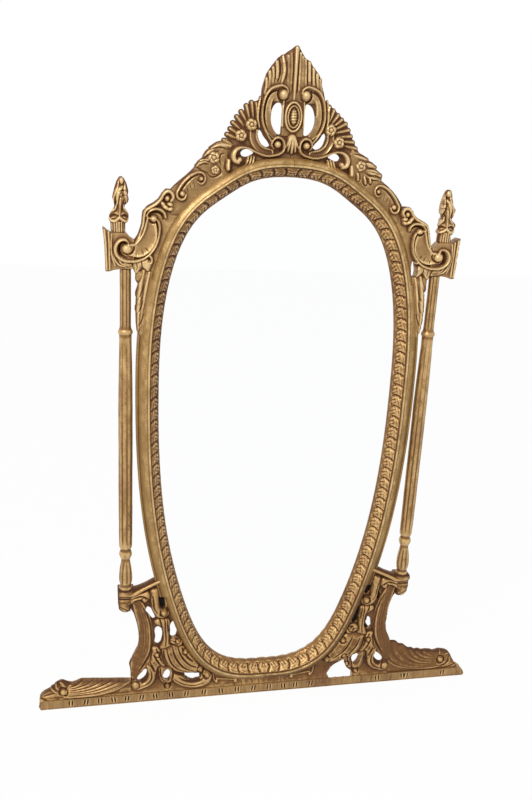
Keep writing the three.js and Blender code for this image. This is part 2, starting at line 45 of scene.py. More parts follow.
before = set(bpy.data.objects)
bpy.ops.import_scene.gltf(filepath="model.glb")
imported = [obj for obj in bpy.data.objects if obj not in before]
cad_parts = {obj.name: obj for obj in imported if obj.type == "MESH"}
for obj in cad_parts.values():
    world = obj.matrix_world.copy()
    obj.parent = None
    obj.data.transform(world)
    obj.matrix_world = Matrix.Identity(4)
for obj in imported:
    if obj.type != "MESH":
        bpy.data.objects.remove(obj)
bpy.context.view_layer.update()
MM = 0.001
SIDES = (("left", -1), ("right", 1))
NOTHING = -90.0  # height and inside distance where a relief holds nothing yet
SEEN_FROM_BEHIND = 0.45  # share of a face's normal that points back where gold gives way to wood
FINE, BROAD, WIDE = 1.4, 4.0, 9.0  # widths of the blurs that find hollows
PAINTED_SHADOW_SHADE, BACK_SHADE = 1.0, 0.42  # recess shades of a blind pocket, painted as shadow, and of a bare back


# --- settings

def colour(name, description, default):
    return FloatVectorProperty(
        name=name, description=description, default=default, min=0, max=1, size=3, subtype="COLOR")


def share(name, description, default):
    return FloatProperty(name=name, description=description, default=default, min=0, max=1, subtype="FACTOR")


def length(name, description, default):
    return FloatProperty(name=name, description=description, default=default, min=0, unit="LENGTH")


class GildingSettings(PropertyGroup):
    leaf: colour("Leaf", "Gold on open faces", (0.40, 0.243, 0.090))
    # Rubbed gold lies on the crests: real wear, and there also a painted highlight.
    rubbed: colour("Rubbed Gold", "Gold on the tops of the carving, where hands have rubbed it", (0.80, 0.585, 0.30))
    glaze: colour("Glaze", "Red-brown glaze left in the hollows", (0.098, 0.034, 0.009))
    bole: colour("Bole", "Red clay that shows where the gold is worn away", (0.235, 0.068, 0.028))
    metal: share("Metal", "How far the gold mirrors as metal does", 0.5)
    roughness: share("Roughness", "Roughness of clean gold", 0.40)
    wear: share("Wear", "Share of the surface where bole shows through", 0.30)


class BareSettings(PropertyGroup):
    softwood: colour("Softwood", "Back board, cleat and rear feet", (0.27, 0.145, 0.066))
    beech: colour("Beech", "Dowels", (0.50, 0.31, 0.155))
    brass: colour("Brass", "Turn buttons", (0.50, 0.33, 0.10))
    steel: colour("Steel", "Screws and hangers", (0.30, 0.29, 0.275))
    silver: colour("Silver", "Reflective face of the mirror", (0.985, 0.99, 0.99))


class CarvingSettings(PropertyGroup):
    grain: length("Grid", "Distance between the height samples of a carved board", 0.0012)
    ribbon: length("Ribbon Pitch", "Length of one turn of the ribbon on the liner", 0.031)
    flutes: FloatProperty(name="Flutes", description="Reeds round a column shaft", default=9, min=6, max=24, step=100)


class StageSettings(PropertyGroup):
    ambient: FloatProperty(name="Ambient", description="Strength of the even light from all round", default=0.54, min=0)
    key: FloatProperty(name="Key", description="Power of the large soft lamp, in watts", default=60.0, min=0)
    fill: FloatProperty(name="Fill", description="Power of the lamp on the other side, in watts", default=5.0, min=0)
    floor_white: share("Floor White", "How far the floor hides its shadows from the camera", 0.965)


# --- meshes

def add_piece(name, mesh_parts, finish, stands_for=(), body="stand", sharp=48, bare=None):
    """Makes an object of (points, corner indices, corners per face, recess), rides it on a body
    and gives it its finish. Recess is kept on the vertices: 0 on crests, 1 in hollows. Faces
    that turn to the back, splintered ones too, are left bare."""
    points, corners, counts, recess = mesh_parts
    mesh = bpy.data.meshes.new(name)
    mesh.vertices.add(len(points))
    mesh.vertices.foreach_set("co", (points * MM).astype(np.float32).ravel())
    mesh.loops.add(len(corners))
    mesh.loops.foreach_set("vertex_index", corners.astype(np.int32))
    mesh.polygons.add(len(counts))
    mesh.polygons.foreach_set("loop_start", (np.cumsum(counts) - counts).astype(np.int32))
    mesh.update(calc_edges=True)
    mesh.validate()
    mesh.shade_smooth()
    mesh.set_sharp_from_angle(angle=math.radians(sharp))
    shade = mesh.attributes.new("recess", "FLOAT", "POINT")
    shade.data.foreach_set("value", recess.astype(np.float32))
    piece = bpy.data.objects.new(name, mesh)
    bpy.context.scene.collection.objects.link(piece)
    piece.data.materials.append(finish)
    if bare:
        piece.data.materials.append(bare)
        facing = np.empty(3 * len(counts), np.float32)
        mesh.polygons.foreach_get("normal", facing)
        mesh.polygons.foreach_set("material_index", (facing[1::3] > SEEN_FROM_BEHIND).astype(np.int32))
    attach(piece, body)
    if stands_for:
        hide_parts(*stands_for)
    return piece


def shell(rings, recess):
    """Closed surface through rings of points: rings[k, i] is point i of ring k. Each ring is
    closed on itself and the first and last are capped. Faces are turned outwards by the sign of
    the volume, a third of the sum of each face's area vector times its place."""
    m, n = rings.shape[:2]
    at = np.arange(m * n).reshape(m, n)
    nxt = np.roll(at, -1, 1)
    quads = np.stack([at[:-1], nxt[:-1], nxt[1:], at[1:]], -1).reshape(-1, 4)
    points = rings.reshape(-1, 3)
    a, b, c, d = (points[quads[:, k]] for k in range(4))
    flux = (np.cross(c - a, d - b) / 2 * (a + b + c + d) / 4).sum()
    for ring, sign in ((rings[0], -1), (rings[-1], 1)):
        mid = ring.mean(0)
        area = (np.cross(ring - mid, np.roll(ring, -1, 0) - mid) / 2).sum(0)
        flux += sign * area @ mid
    caps = [at[0][::-1], at[-1]]
    if flux < 0:
        quads, caps = quads[:, ::-1], [cap[::-1] for cap in caps]
    corners = np.concatenate([quads.ravel(), *caps])
    counts = np.concatenate([np.full(len(quads), 4), [n, n]])
    return points, corners, counts, np.broadcast_to(recess, (m, n)).reshape(-1).astype(float)


def hollows(height, across, along, fine, broad):
    """Recess shade of a height field: a half plus shares of how far it lies below its own blur
    over each width. `across` and `along` are the grid's steps."""
    near, wide = (blur(height, width / across, width / along) - height for width in (FINE, BROAD))
    return np.clip(0.5 + fine * near + broad * wide, 0, 1)


def blur(a, down, along=None):
    """Gaussian blur along both axes of a grid."""
    for axis, sigma in ((0, down), (1, down if along is None else along)):
        reach = max(1, int(3 * sigma + 0.5))
        taps = np.exp(-0.5 * (np.arange(-reach, reach + 1) / sigma) ** 2)
        taps /= taps.sum()
        pad = [(reach, reach) if i == axis else (0, 0) for i in (0, 1)]
        wide = np.pad(a, pad, mode="edge")
        size = a.shape[axis]
        a = sum(tap * np.take(wide, np.arange(i, i + size), axis=axis) for i, tap in enumerate(taps))
    return a


def spread(a, mask, sigma):
    """Blur of the values inside a mask only, carried outside it as far as the blur reaches."""
    return blur(np.where(mask, a, 0), sigma) / np.maximum(blur(mask.astype(float), sigma), 1e-6)


# --- materials

class Socket:
    """An output of a material's node. Python's operators on it add Math nodes."""

    def __init__(self, maker, output):
        self.maker = maker
        self.output = output

    def math(self, operation, *values, clamp=False):
        settings = {"operation": operation, "use_clamp": clamp}
        return self.maker.node("ShaderNodeMath", settings, dict(enumerate(values)))

    def __add__(self, other):
        return self.math("ADD", self, other)

    __radd__ = __add__

    def __mul__(self, other):
        return self.math("MULTIPLY", self, other)

    __rmul__ = __mul__

    def __sub__(self, other):
        return self.math("SUBTRACT", self, other)

    def __rsub__(self, other):
        return self.math("SUBTRACT", other, self)

    def __truediv__(self, other):
        return self.math("DIVIDE", self, other)

    def clamped(self):
        return self.math("ADD", self, 0.0, clamp=True)

    def above(self, level, width):
        """0 below a level, 1 above it, and a straight slope that wide between."""
        return ((self - (level - width / 2)) / width).clamped()


class Finish:
    """A material in the making, or a world's light when its node tree is given."""

    def __init__(self, name, tree=None):
        if tree is None:
            self.material = bpy.data.materials.new(name)
            self.material.use_nodes = True
            tree = self.material.node_tree
        self.tree = tree
        self.tree.nodes.clear()

    def node(self, kind, settings=None, sockets=None, out=0):
        """Adds a node: its type, its settings, then values or links for its inputs."""
        node = self.tree.nodes.new(kind)
        for key, value in (settings or {}).items():
            if key == "stops":
                ramp = node.color_ramp
                while len(ramp.elements) < len(value):
                    ramp.elements.new(0.5)
                for element, (place, level) in zip(ramp.elements, value):
                    element.position = place
                    element.color = (level, level, level, 1) if isinstance(level, (int, float)) else (*level, 1)
            else:
                setattr(node, key, value)
        for key, value in (sockets or {}).items():
            if isinstance(value, Socket):
                self.tree.links.new(value.output, node.inputs[key])
            elif value is not None:
                slot = node.inputs[key]
                slot.default_value = (*value, 1) if slot.type == "RGBA" else value
        return Socket(self, node.outputs[out])

    def place(self, scale=(1, 1, 1), turn=(0, 0, 0)):
        """Place on the object in metres, stretched and turned."""
        at = self.node("ShaderNodeTexCoord", out="Object")
        return self.node("ShaderNodeMapping", {}, {"Vector": at, "Scale": scale, "Rotation": turn})

    def noise(self, scale, detail=3.0, rough=0.5, at=None, distort=0.0):
        return self.node("ShaderNodeTexNoise", {}, {
            "Vector": at or self.place(), "Scale": scale, "Detail": detail, "Roughness": rough, "Distortion": distort})

    def mix(self, factor, a, b, kind="MIX"):
        """Blends two colours by a factor."""
        settings = {"data_type": "RGBA", "blend_type": kind}
        node = self.node("ShaderNodeMix", settings, {0: factor, 6: a, 7: b}, out=2)
        return node

    def attribute(self, name):
        return self.node("ShaderNodeAttribute", {"attribute_name": name}, out="Fac")

    def bump(self, height, strength, distance):
        return self.node("ShaderNodeBump", {}, {"Height": height, "Strength": strength, "Distance": distance})

    def principled(self, **sockets):
        shader = self.node("ShaderNodeBsdfPrincipled", {}, {k.replace("_", " "): v for k, v in sockets.items()})
        return self.output(shader)

    def output(self, shader):
        node = self.tree.nodes.new("ShaderNodeOutputMaterial")
        self.tree.links.new(shader.output, node.inputs["Surface"])
        return self.material


PAINTED_SHADOW_COLOUR = (0.006, 0.004, 0.003)  # painted shadow colour of a blind pocket


def gilding(name, settings, carved=True, streak=(1, 1, 1), glaze=1.0, wear=1.0, tone=(1, 1, 1), brushed=1.0, deep=1.0):
    """Old water gilding. Red-brown glaze lies in the hollows, crests are rubbed bright, and red
    bole shows in worn patches and at the gold's torn edges. The rubbed crests are real wear and
    also a painted highlight. The glaze follows the recess shade, so it also carries the painted
    shade that some pieces add to it, and where that shade is full the gold turns to a dark
    painted shadow. `streak` stretches the brush marks."""
    f = Finish(name)
    cloud = f.noise(9, 3, 0.55)
    mottle = f.noise(75, 4, 0.62, f.place(tuple(s**0.5 for s in streak)))
    fleck = f.noise(260, 3, 0.62)
    brush = f.noise(60, 4, 0.65, f.place(streak), 0.3)
    hollow = f.attribute("recess") if carved else f.noise(30, 2, 0.5) * 0.2 + 0.4
    # Glaze and its film follow the recess shade: patina in the hollows, and also the painted shade that some pieces add
    # to their recess.
    dirt = (hollow + (cloud - 0.5) * 0.30 + (mottle - 0.5) * 0.30 + (brush - 0.5) * (0.22 * brushed) + (fleck - 0.5)
            * 0.16).above(0.68, 0.34) * glaze
    film = (cloud * 0.45 + brush * 0.65 + (hollow - 0.5) * 0.9).above(0.60, 0.40) * (0.50 * glaze)
    # Rubbed crests: real wear, and also a painted highlight on the convex parts.
    crest = ((0.455 - hollow) * 4.2 + (mottle - 0.5) * 2.2 + (fleck - 0.5) * 1.2).clamped()
    worn = (cloud * 0.5 + mottle * 0.5 + (fleck - 0.5) * 0.3).above(0.68 - 0.20 * settings.wear * wear, 0.07)
    leaf = tuple(c * t for c, t in zip(settings.leaf, tone))
    leafed = f.mix((mottle * 1.6 + fleck * 0.8 - 0.7).clamped(), tuple(0.62 * c for c in leaf),
            tuple(min(1, 1.36 * c) for c in leaf))
    gold = f.mix((crest * 1.1).clamped(), leafed, tuple(c * min(1, t**0.5) for c, t in zip(settings.rubbed, tone)))
    gold = f.mix((brush * 2.2 - 0.9).clamped() * 0.5, gold, tuple(min(1, c * 1.45) for c in leaf))
    gold = f.mix(film.clamped(), gold, tuple(0.30 * a + 0.70 * b for a, b in zip(leaf, settings.glaze)))
    gold = f.mix(worn * 0.6, gold, tuple(settings.bole))
    gold = f.mix(dirt.clamped(), gold, tuple(deep * c for c in settings.glaze))
    # Painted shadow: where the recess shade is full, as in blind pockets, the gold turns to a dark shadow colour.
    gold = f.mix(hollow.above(0.95, 0.06), gold, PAINTED_SHADOW_COLOUR)
    rough = (dirt * 0.38 + worn * 0.22 + (brush - 0.5) * 0.26 + settings.roughness).clamped()
    metal = ((1 - dirt) * (1 - worn * 0.8) * settings.metal).clamped()
    relief = f.bump(brush * 0.4 + mottle * 0.4 + fleck * 0.2, 0.7, 0.0015)
    return f.principled(Base_Color=gold, Metallic=metal, Roughness=rough, Normal=relief)


def bare_wood(name, tint, along=(1, 1, 14)):
    """Planed softwood or beech: growth rings stretched along the grain, pores and handling dirt."""
    f = Finish(name)
    rings = f.noise(16, 4, 0.6, f.place(tuple(1 / a for a in along)), 0.9)
    pores = f.noise(260, 2, 0.5, f.place(tuple(1 / a for a in along)))
    cloud = f.noise(5, 3, 0.5)
    wood = f.mix((rings * 1.5 - 0.35).clamped(), tuple(0.62 * c for c in tint), tuple(1.18 * c for c in tint))
    wood = f.mix((pores.above(0.60, 0.1)) * 0.45, wood, tuple(0.42 * c for c in tint))
    wood = f.mix(cloud.above(0.56, 0.3) * 0.4, wood, tuple(0.55 * c for c in tint))
    rough = (0.86 - rings * 0.22).clamped()
    relief = f.bump(rings * 0.6 + pores * 0.4, 0.4, 0.0006)
    return f.principled(Base_Color=wood, Roughness=rough, Normal=relief)


def old_metal(name, tint, tarnish, scale=60, roughness=0.34):
    """Brass or steel with brush lines, and tarnish in soft patches."""
    f = Finish(name)
    patch = f.noise(scale, 4, 0.6)
    lines = f.noise(900, 2, 0.5, f.place((1, 1, 0.08)))
    dull = patch.above(0.52, 0.25)
    face = f.mix(dull * 0.75, tint, tarnish)
    face = f.mix(lines * 0.25, face, tuple(0.7 * c for c in tint))
    rough = (dull * 0.25 + lines * 0.14 + roughness).clamped()
    relief = f.bump(lines * 0.6 + patch * 0.4, 0.25, 0.0003)
    return f.principled(Base_Color=face, Metallic=(1 - dull * 0.35).clamped(), Roughness=rough, Normal=relief)


def silvering(name, tint):
    """Mirror silver behind glass, with a few foxed specks and a faint haze in its roughness."""
    f = Finish(name)
    speck = f.noise(190, 3, 0.7).above(0.79, 0.04)
    haze = f.noise(6, 2, 0.5)
    face = f.mix(speck * 0.35, tint, (0.30, 0.27, 0.22))
    rough = (haze * 0.012 + speck * 0.2).clamped()
    return f.principled(Base_Color=face, Metallic=1.0, Roughness=rough, Coat_Weight=1.0, Coat_Roughness=0.01)


# --- the egg

SIGHT_HALF_WIDTH = 319.5
SIGHT_LEVEL = 933.0


# Waves where the drawn line leaves the plain curve: degrees up from the foot of the egg,
# spread, and distance out.
WAVES = ((155.6, 15.7, -17.4), (43.9, 21.5, -7.2), (18.9, 18.5, 8.0))


def sight_edge(angle):
    """Place on |x / half width|^side + |z / reach|^end = 1, which has its own reach and powers
    above and below the widest level, moved out by the waves."""
    a = np.radians(angle)
    lower = np.sin(a) < 0
    reach = np.where(lower, 839.0, 555.0)
    side = np.where(lower, 2.85, 2.8)
    end = np.where(lower, 2.2, 2.5)
    across = np.abs(np.cos(a)) ** (2 / side)
    along = np.abs(np.sin(a)) ** (2 / end)
    right, up = np.sign(np.cos(a)), np.sign(np.sin(a))
    nx = right * side / SIGHT_HALF_WIDTH * across ** (side - 1)
    nz = up * end / reach * along ** (end - 1)
    lift = 90 + np.degrees(np.arcsin(np.sin(a)))
    wave = sum(out * np.exp(-(((lift - at) / wide) ** 2)) for at, wide, out in WAVES) / np.hypot(nx, nz)
    return right * across * SIGHT_HALF_WIDTH + nx * wave, SIGHT_LEVEL + up * along * reach + nz * wave


def egg(angle, out):
    """Place and outward direction at an angle in degrees, `out` beyond the sight edge."""
    x, z = sight_edge(angle)
    (x1, z1), (x0, z0) = sight_edge(angle + 0.05), sight_edge(angle - 0.05)
    length = np.hypot(x1 - x0, z1 - z0)
    nx, nz = (z1 - z0) / length, (x0 - x1) / length
    return x + nx * out, z + nz * out, nx, nz


def egg_outline(out, axis=0.0):
    """Closed line parallel to the sight edge, measured from a relief's own axis."""
    x, z, _, _ = egg(np.arange(1.0, 360, 2.5), out)
    return np.c_[x - axis, z]


# --- curves

def smooth_path(knots, step=1.5):
    """Rows of knots joined by cubic Hermite pieces, whose tangents are central differences over
    chord length. The first two columns are a place, and any others ride along with it."""
    knots = np.asarray(knots, float)
    chord = np.linalg.norm(np.diff(knots[:, :2], axis=0), axis=1)
    t = np.r_[0, np.cumsum(chord)]
    tangent = np.gradient(knots, t, axis=0)
    u = np.linspace(0, t[-1], max(3, int(t[-1] / step) + 1))
    k = np.clip(np.searchsorted(t, u, side="right") - 1, 0, len(t) - 2)
    width = (t[k + 1] - t[k])[:, None]
    s = (u - t[k])[:, None] / width
    return (
        (2 * s**3 - 3 * s**2 + 1) * knots[k]
        + (s**3 - 2 * s**2 + s) * width * tangent[k]
        + (3 * s**2 - 2 * s**3) * knots[k + 1]
        + (s**3 - s**2) * width * tangent[k + 1]
    )


def smooth_loop(knots, step=1.5):
    """The same curve closed on itself: it is run once more past both ends and trimmed."""
    knots = np.asarray(knots, float)
    path = smooth_path(np.r_[knots[-2:], knots, knots[:2]], step)
    gap, half = ((path - knots[0]) ** 2).sum(1), len(path) // 2
    return path[gap[:half].argmin():half + gap[half:].argmin()]


def spiral(centre, radius, start, turns, inner=0.25, count=24):
    """Places on a spiral whose radius falls evenly with the angle, from `radius` to `inner` of
    it. Angles are in degrees from +X towards +Z, and `turns` is signed."""
    f = np.linspace(0, 1, count)
    angle = np.radians(start + 360 * turns * f)
    r = radius * (1 - (1 - inner) * f)
    return np.c_[centre[0] + r * np.cos(angle), centre[1] + r * np.sin(angle)]


# --- sections of carved strokes
# Each gives the height, from 0 at the foot to 1 at the top, across a stroke: v runs from -1 on
# the left of its path to 1 on the right.

def reed(v):
    """A half-round reed: the root of 1 - v squared."""
    return np.sqrt(np.clip(1 - v * v, 0, 1))


def rib(v):
    """A rib with a fuller left shoulder and a flat right slope, as a gouge leaves it: the root
    of 1 - u to the power 1.8, where u is measured from a crest at v = -0.25."""
    u = (v + 0.25) / np.where(v < -0.25, 0.75, 1.25)
    return np.sqrt(np.clip(1 - np.abs(u) ** 1.8, 0, 1))


def fold(v):
    """A leaf fold with a sharp crest: 1 - v to the power 1.3."""
    return 1 - np.abs(v) ** 1.3


def crest_line(v):
    """A sharp crest between two hollow slopes: 1 - v to the power 0.85."""
    return 1 - np.abs(v) ** 0.85


def scoop(v):
    """A hollow band between two narrow beads: v to the power 2.5, rounded off at the very edge."""
    return (0.25 + 0.75 * np.abs(v) ** 2.5) * np.sqrt(np.clip(1 - np.abs(v) ** 12, 0, 1))


def hollow_left(v):
    """A band that falls in a hollow from a bead on the left of its path to the right edge."""
    bead = np.exp(-(((v + 0.8) / 0.17) ** 2))
    slope = 0.62 - 0.30 * (v + 1) + 0.13 * (v + 1) ** 2
    return np.clip(np.maximum(bead, slope), 0, 1) * np.sqrt(np.clip(1 - np.abs(v) ** 14, 0, 1))


# --- carved boards

def grid_step():
    """Distance between height samples in millimetres."""
    return bpy.context.scene.mirror_carving.grain / MM * 1.0


class Relief:
    """A carved board: heights towards the viewer, and how far inside the outline each place
    is, on a square grid over part of the front plane. All in millimetres. Knots are given for
    the right-hand side of `axis`, and are mirrored while `side` is -1."""

    def __init__(self, x0, x1, z0, z1, side=1, axis=0.0):
        self.step = step = grid_step()
        self.side, self.axis = side, axis
        self.x = np.arange(x0, x1 + step / 2, step)
        self.z = np.arange(z0, z1 + step / 2, step)
        self.X, self.Z = np.meshgrid(self.x, self.z)
        self.thickness = 10.0  # how far the back lies behind the front plane
        self.height, self.inside, self.shadow_pocket = (np.full(self.X.shape, NOTHING) for _ in range(3))

    def measure(self, path):
        """Window of the grid round a path of (x, z, half width, level) rows, and for each place
        in it the distance to the nearest point of the path, that point's row and the side."""
        path = path * [self.side, 1, 1, 1] + [self.axis, 0, 0, 0]
        s = path[:, :2]
        margin = path[:, 2].max() + self.step
        (x0, z0), (x1, z1) = s.min(0) - margin, s.max(0) + margin
        w = slice(*np.searchsorted(self.z, [z0, z1])), slice(*np.searchsorted(self.x, [x0, x1]))
        p = np.c_[self.X[w].ravel(), self.Z[w].ravel()]
        near = ((s**2).sum(1) - 2 * p @ s.T).argmin(1)
        best = None
        for j in (np.clip(near - 1, 0, len(s) - 2), np.clip(near, 0, len(s) - 2)):
            run = s[j + 1] - s[j]
            off = p - s[j]
            f = np.clip((off * run).sum(1) / np.maximum((run**2).sum(1), 1e-9), 0, 1)
            gap = off - f[:, None] * run
            dist = np.hypot(gap[:, 0], gap[:, 1])
            across = np.sign(gap[:, 0] * run[:, 1] - gap[:, 1] * run[:, 0])
            here = [dist, j + f, across]
            best = here if best is None else [
                np.where(dist < best[0], new, old) for new, old in zip(here, best)]
        dist, t, across = best
        k = np.clip(t.astype(int), 0, len(s) - 2)
        f = (t - k)[:, None]
        row = path[k] * (1 - f) + path[k + 1] * f
        shape = self.X[w].shape
        return w, dist.reshape(shape), row.reshape(*shape, -1), across.reshape(shape)

    def lay(self, level, inside, w=(slice(None), slice(None))):
        """Puts a carved shape on the board where it stands higher. Its edge is blended over one
        grid step, so that it follows the shape and not the grid."""
        old = self.height[w]
        part = np.clip(inside / self.step + 0.5, 0, 1)
        blended = np.where(old < NOTHING / 2, level, old + (level - old) * part)
        self.height[w] = np.where((part > 0) & (level > old), blended, old)
        self.inside[w] = np.maximum(self.inside[w], inside)

    def stroke(self, knots, rise, section=reed, sharp=False):
        """Adds a carved stroke. Knots are (x, z, half width, top); its feet lie `rise` below
        its top. Where strokes and ground overlap, the highest is left standing."""
        path = np.asarray(knots, float) if sharp else smooth_path(knots)
        w, dist, row, across = self.measure(path)
        width = np.maximum(row[..., 2], 0.05)
        v = np.clip(dist / width, 0, 1) * across * self.side
        top = row[..., 3] - rise * (1 - section(v))
        self.lay(top, width - dist, w)

    def groove(self, knots):
        """Cuts a round-bottomed groove. Knots are (x, z, half width, depth)."""
        w, dist, row, _ = self.measure(smooth_path(knots))
        v = np.clip(dist / np.maximum(row[..., 2], 0.05), 0, 1)
        self.height[w] -= row[..., 3] * (1 - v * v) ** 1.5

    def distance_in(self, outline, side=None):
        """Distance inside a closed outline, negative outside, over the whole grid."""
        p = np.asarray(outline, float) * [side or self.side, 1] + [self.axis, 0]
        nxt = np.roll(p, -1, 0)
        best = np.full(self.X.shape, 1e9)
        crossings = np.zeros(self.X.shape, int)
        for (ax, az), (bx, bz) in zip(p, nxt):
            dx, dz = bx - ax, bz - az
            f = np.clip(((self.X - ax) * dx + (self.Z - az) * dz) / max(dx * dx + dz * dz, 1e-9), 0, 1)
            best = np.minimum(best, np.hypot(self.X - ax - f * dx, self.Z - az - f * dz))
            spans = (az > self.Z) != (bz > self.Z)
            at = ax + (self.Z - az) * dx / (dz if dz else 1e-9)
            crossings += spans & (self.X < at)
        return np.where(crossings % 2 == 1, best, -best)

    def ground(self, outline, top, dome=0.0, reach=20.0):
        """Adds a flat ground, raised in its middle by `dome` over `reach` from its edge."""
        d = self.distance_in(outline)
        self.lay(top + dome * np.sqrt(np.clip(d / reach, 0, 1)), d)

    def mass(self, outline, top, dome, reach):
        """Adds a swelling body with a smooth outline, which rises by `dome` over `reach`."""
        self.ground(smooth_loop(outline, 3.0), top, dome, reach)

    def creases(self, lines, width, depth):
        """Cuts several grooves of (x, z) knots that run out to nothing at both ends."""
        for line in lines:
            k = np.array(line, float)
            f = np.sin(np.pi * (np.arange(len(k)) + 0.5) / len(k)) ** 0.5
            self.groove(np.c_[k, width * f, depth * f])

    def pierce(self, outline, drop=(0, 0)):
        """Cuts a smooth opening right through, stretched by `drop` so that it looks as wide when
        it is seen from above."""
        loop = smooth_loop(outline, 3.0)
        for f in (0, 0.5, 1) if any(drop) else (0,):
            self.inside = np.minimum(self.inside, -self.distance_in(loop + np.array(drop) * f))

    def bevel(self, depth, rim, slope=0.9):
        """Depths for a back that is bevelled away towards every edge, as pierced boards are."""
        return np.clip(rim + slope * self.inside, rim, depth)

    def trim(self, out):
        """Keeps only what is further out than that from the sight edge."""
        self.inside = np.minimum(self.inside, -self.distance_in(egg_outline(out, self.axis), 1))

    def boss(self, x, z, rx, rz, top, rise, turn=0.0):
        """Adds a domed oval boss: height falls as the root of 1 - the radius squared."""
        a = np.radians(turn)
        dx, dz = (self.X - self.axis) * self.side - x, self.Z - z
        u = (dx * np.cos(a) + dz * np.sin(a)) / rx
        v = (-dx * np.sin(a) + dz * np.cos(a)) / rz
        r = np.hypot(u, v)
        dome = top - rise * (1 - np.sqrt(np.clip(1 - r**2, 0, 1)))
        self.lay(dome, (1 - r) * min(rx, rz))

    def flower(self, x, z, radius, petals, top, rise, phase):
        """Adds a rose: a dome parted by swirling creases into petals, with a ringed heart."""
        dx, dz = (self.X - self.axis) * self.side - x, self.Z - z
        r = np.hypot(dx, dz) / radius
        a = (np.arctan2(dz, dx) + np.radians(phase) + 0.9 * r) * petals / (2 * np.pi) % 1.0
        part = np.exp(-(((a - 0.5) / 0.13) ** 2)) * np.clip(3 * r - 0.8, 0, 1)
        q = r / (1 - 0.10 * part)
        dome = np.sqrt(np.clip(1 - q**2.2, 0, 1)) * (0.92 - 0.30 * part)
        pit = 0.34 * np.exp(-(((r - 0.36) / 0.12) ** 2))
        self.lay(top - rise + rise * (dome - pit), (1 - q) * radius)

    def sink(self, outline, floor=-6.0):
        """Sinks a narrow blind pocket and marks it for a painted dark shadow."""
        d = self.distance_in(smooth_loop(outline, 3.0))
        self.height = np.where(d > 0, np.minimum(self.height, floor), self.height)
        self.shadow_pocket = np.maximum(self.shadow_pocket, d)

    def finish(self, soften=0.7, edge=1.6):
        """Rounds the outline over by a quarter circle, softens the carving with a blur, and works
        out the recess shade: a half plus shares of how far it lies below its three blurs."""
        mask = self.inside > 0
        near = np.clip(self.inside / edge, 0, 1)
        height = np.where(mask, self.height - edge * (1 - np.sqrt(1 - (1 - near) ** 2)), 0)
        height = spread(height, mask, soften / self.step)
        self.front = np.where(mask, height, spread(height, mask, 1.0))
        fine, broad, wide = (spread(self.front, mask, width / self.step) - self.front for width in (FINE, BROAD, WIDE))
        self.recess = np.clip(0.5 + 0.26 * fine + 0.10 * broad + 0.035 * wide, 0, 0.9)
        # Painted shadow: blind pockets take the full recess shade.
        self.recess[self.shadow_pocket > 0.3] = PAINTED_SHADOW_SHADE
        return self

    def solid(self, back):
        """Closed solid between the carved front and a back at that depth, which may vary. Each
        grid square is cut where `inside` passes through zero along its sides. A cut square
        keeps its inner corners and the cuts in order, and a wall stands on each cut."""
        level = self.inside.copy()
        level[[0, -1]] = -1
        level[:, [0, -1]] = -1
        level = np.where(np.abs(level) < 1e-3, 1e-3, level)
        kept = level > 0
        fields = np.stack([self.X, -self.front, self.Z, self.recess, np.broadcast_to(back, kept.shape)], -1)

        def cuts(one, other):
            crossed = kept[one] != kept[other]
            near, far = level[one][crossed], level[other][crossed]
            part = (near / (near - far))[:, None]
            return crossed, fields[one][crossed] * (1 - part) + fields[other][crossed] * part

        low, high = slice(None, -1), slice(1, None)
        every = slice(None)
        level_cut, level_rows = cuts((every, low), (every, high))
        rise_cut, rise_rows = cuts((low, every), (high, every))
        rows = np.concatenate([fields[kept], level_rows, rise_rows])
        number = np.cumsum([0, kept.sum(), level_cut.sum(), rise_cut.sum()])
        names = []
        for mask, first in zip((kept, level_cut, rise_cut), number):
            ids = np.zeros(mask.shape, int)
            ids[mask] = first + np.arange(mask.sum())
            names.append(ids)
        corner, flat, steep = names
        corners = [corner[low, low], corner[low, high], corner[high, high], corner[high, low]]
        crossings = [flat[low], steep[:, high], flat[high], steep[:, low]]
        inner = [kept[low, low], kept[low, high], kept[high, high], kept[high, low]]
        code = sum(k.astype(int) << i for i, k in enumerate(inner))
        count = len(rows)
        loops, sizes = [], []
        for case in range(1, 16):
            here = code == case
            if not here.any():
                continue
            ring, is_cut = [], []
            for k in range(4):
                if case >> k & 1:
                    ring.append(corners[k][here])
                    is_cut.append(False)
                if (case >> k & 1) != (case >> (k + 1) % 4 & 1):
                    ring.append(crossings[k][here])
                    is_cut.append(True)
            face = np.stack(ring, -1)
            for faces in (face, face[:, ::-1] + count):
                loops.append(faces.ravel())
                sizes.append(np.full(len(faces), faces.shape[1]))
            for k in range(len(ring)):
                if is_cut[k] and is_cut[(k + 1) % len(ring)]:
                    a, b = ring[k], ring[(k + 1) % len(ring)]
                    loops.append(np.stack([b, a, a + count, b + count], -1).ravel())
                    sizes.append(np.full(len(a), 4))
        front = rows[:, :3]
        rear = np.stack([rows[:, 0], rows[:, 4], rows[:, 2]], -1)
        recess = np.concatenate([rows[:, 3], np.full(count, BACK_SHADE)])
        return np.concatenate([front, rear]), np.concatenate(loops), np.concatenate(sizes), recess


# --- crest

CREST_AXIS = -6.0

# Fan ribs: (foot x, foot z, tip x, tip z).
FAN_LEFT = [
    (88, 1622, 92, 1652), (98, 1620, 103, 1654), (107, 1616, 115, 1646), (114, 1610, 127, 1632), (120, 1600, 137, 1620),
    (126, 1590, 146, 1606), (131, 1580, 152, 1592), (137, 1571, 159, 1579), (146, 1556, 166, 1565),
]
FAN_RIGHT = [
    (83, 1622, 89, 1655), (91, 1620, 100, 1647), (97, 1616, 112, 1637), (100, 1610, 122, 1627), (103, 1603, 133, 1618),
    (108, 1596, 141, 1604), (114, 1587, 148, 1590), (122, 1578, 155, 1576), (130, 1568, 163, 1562),
]


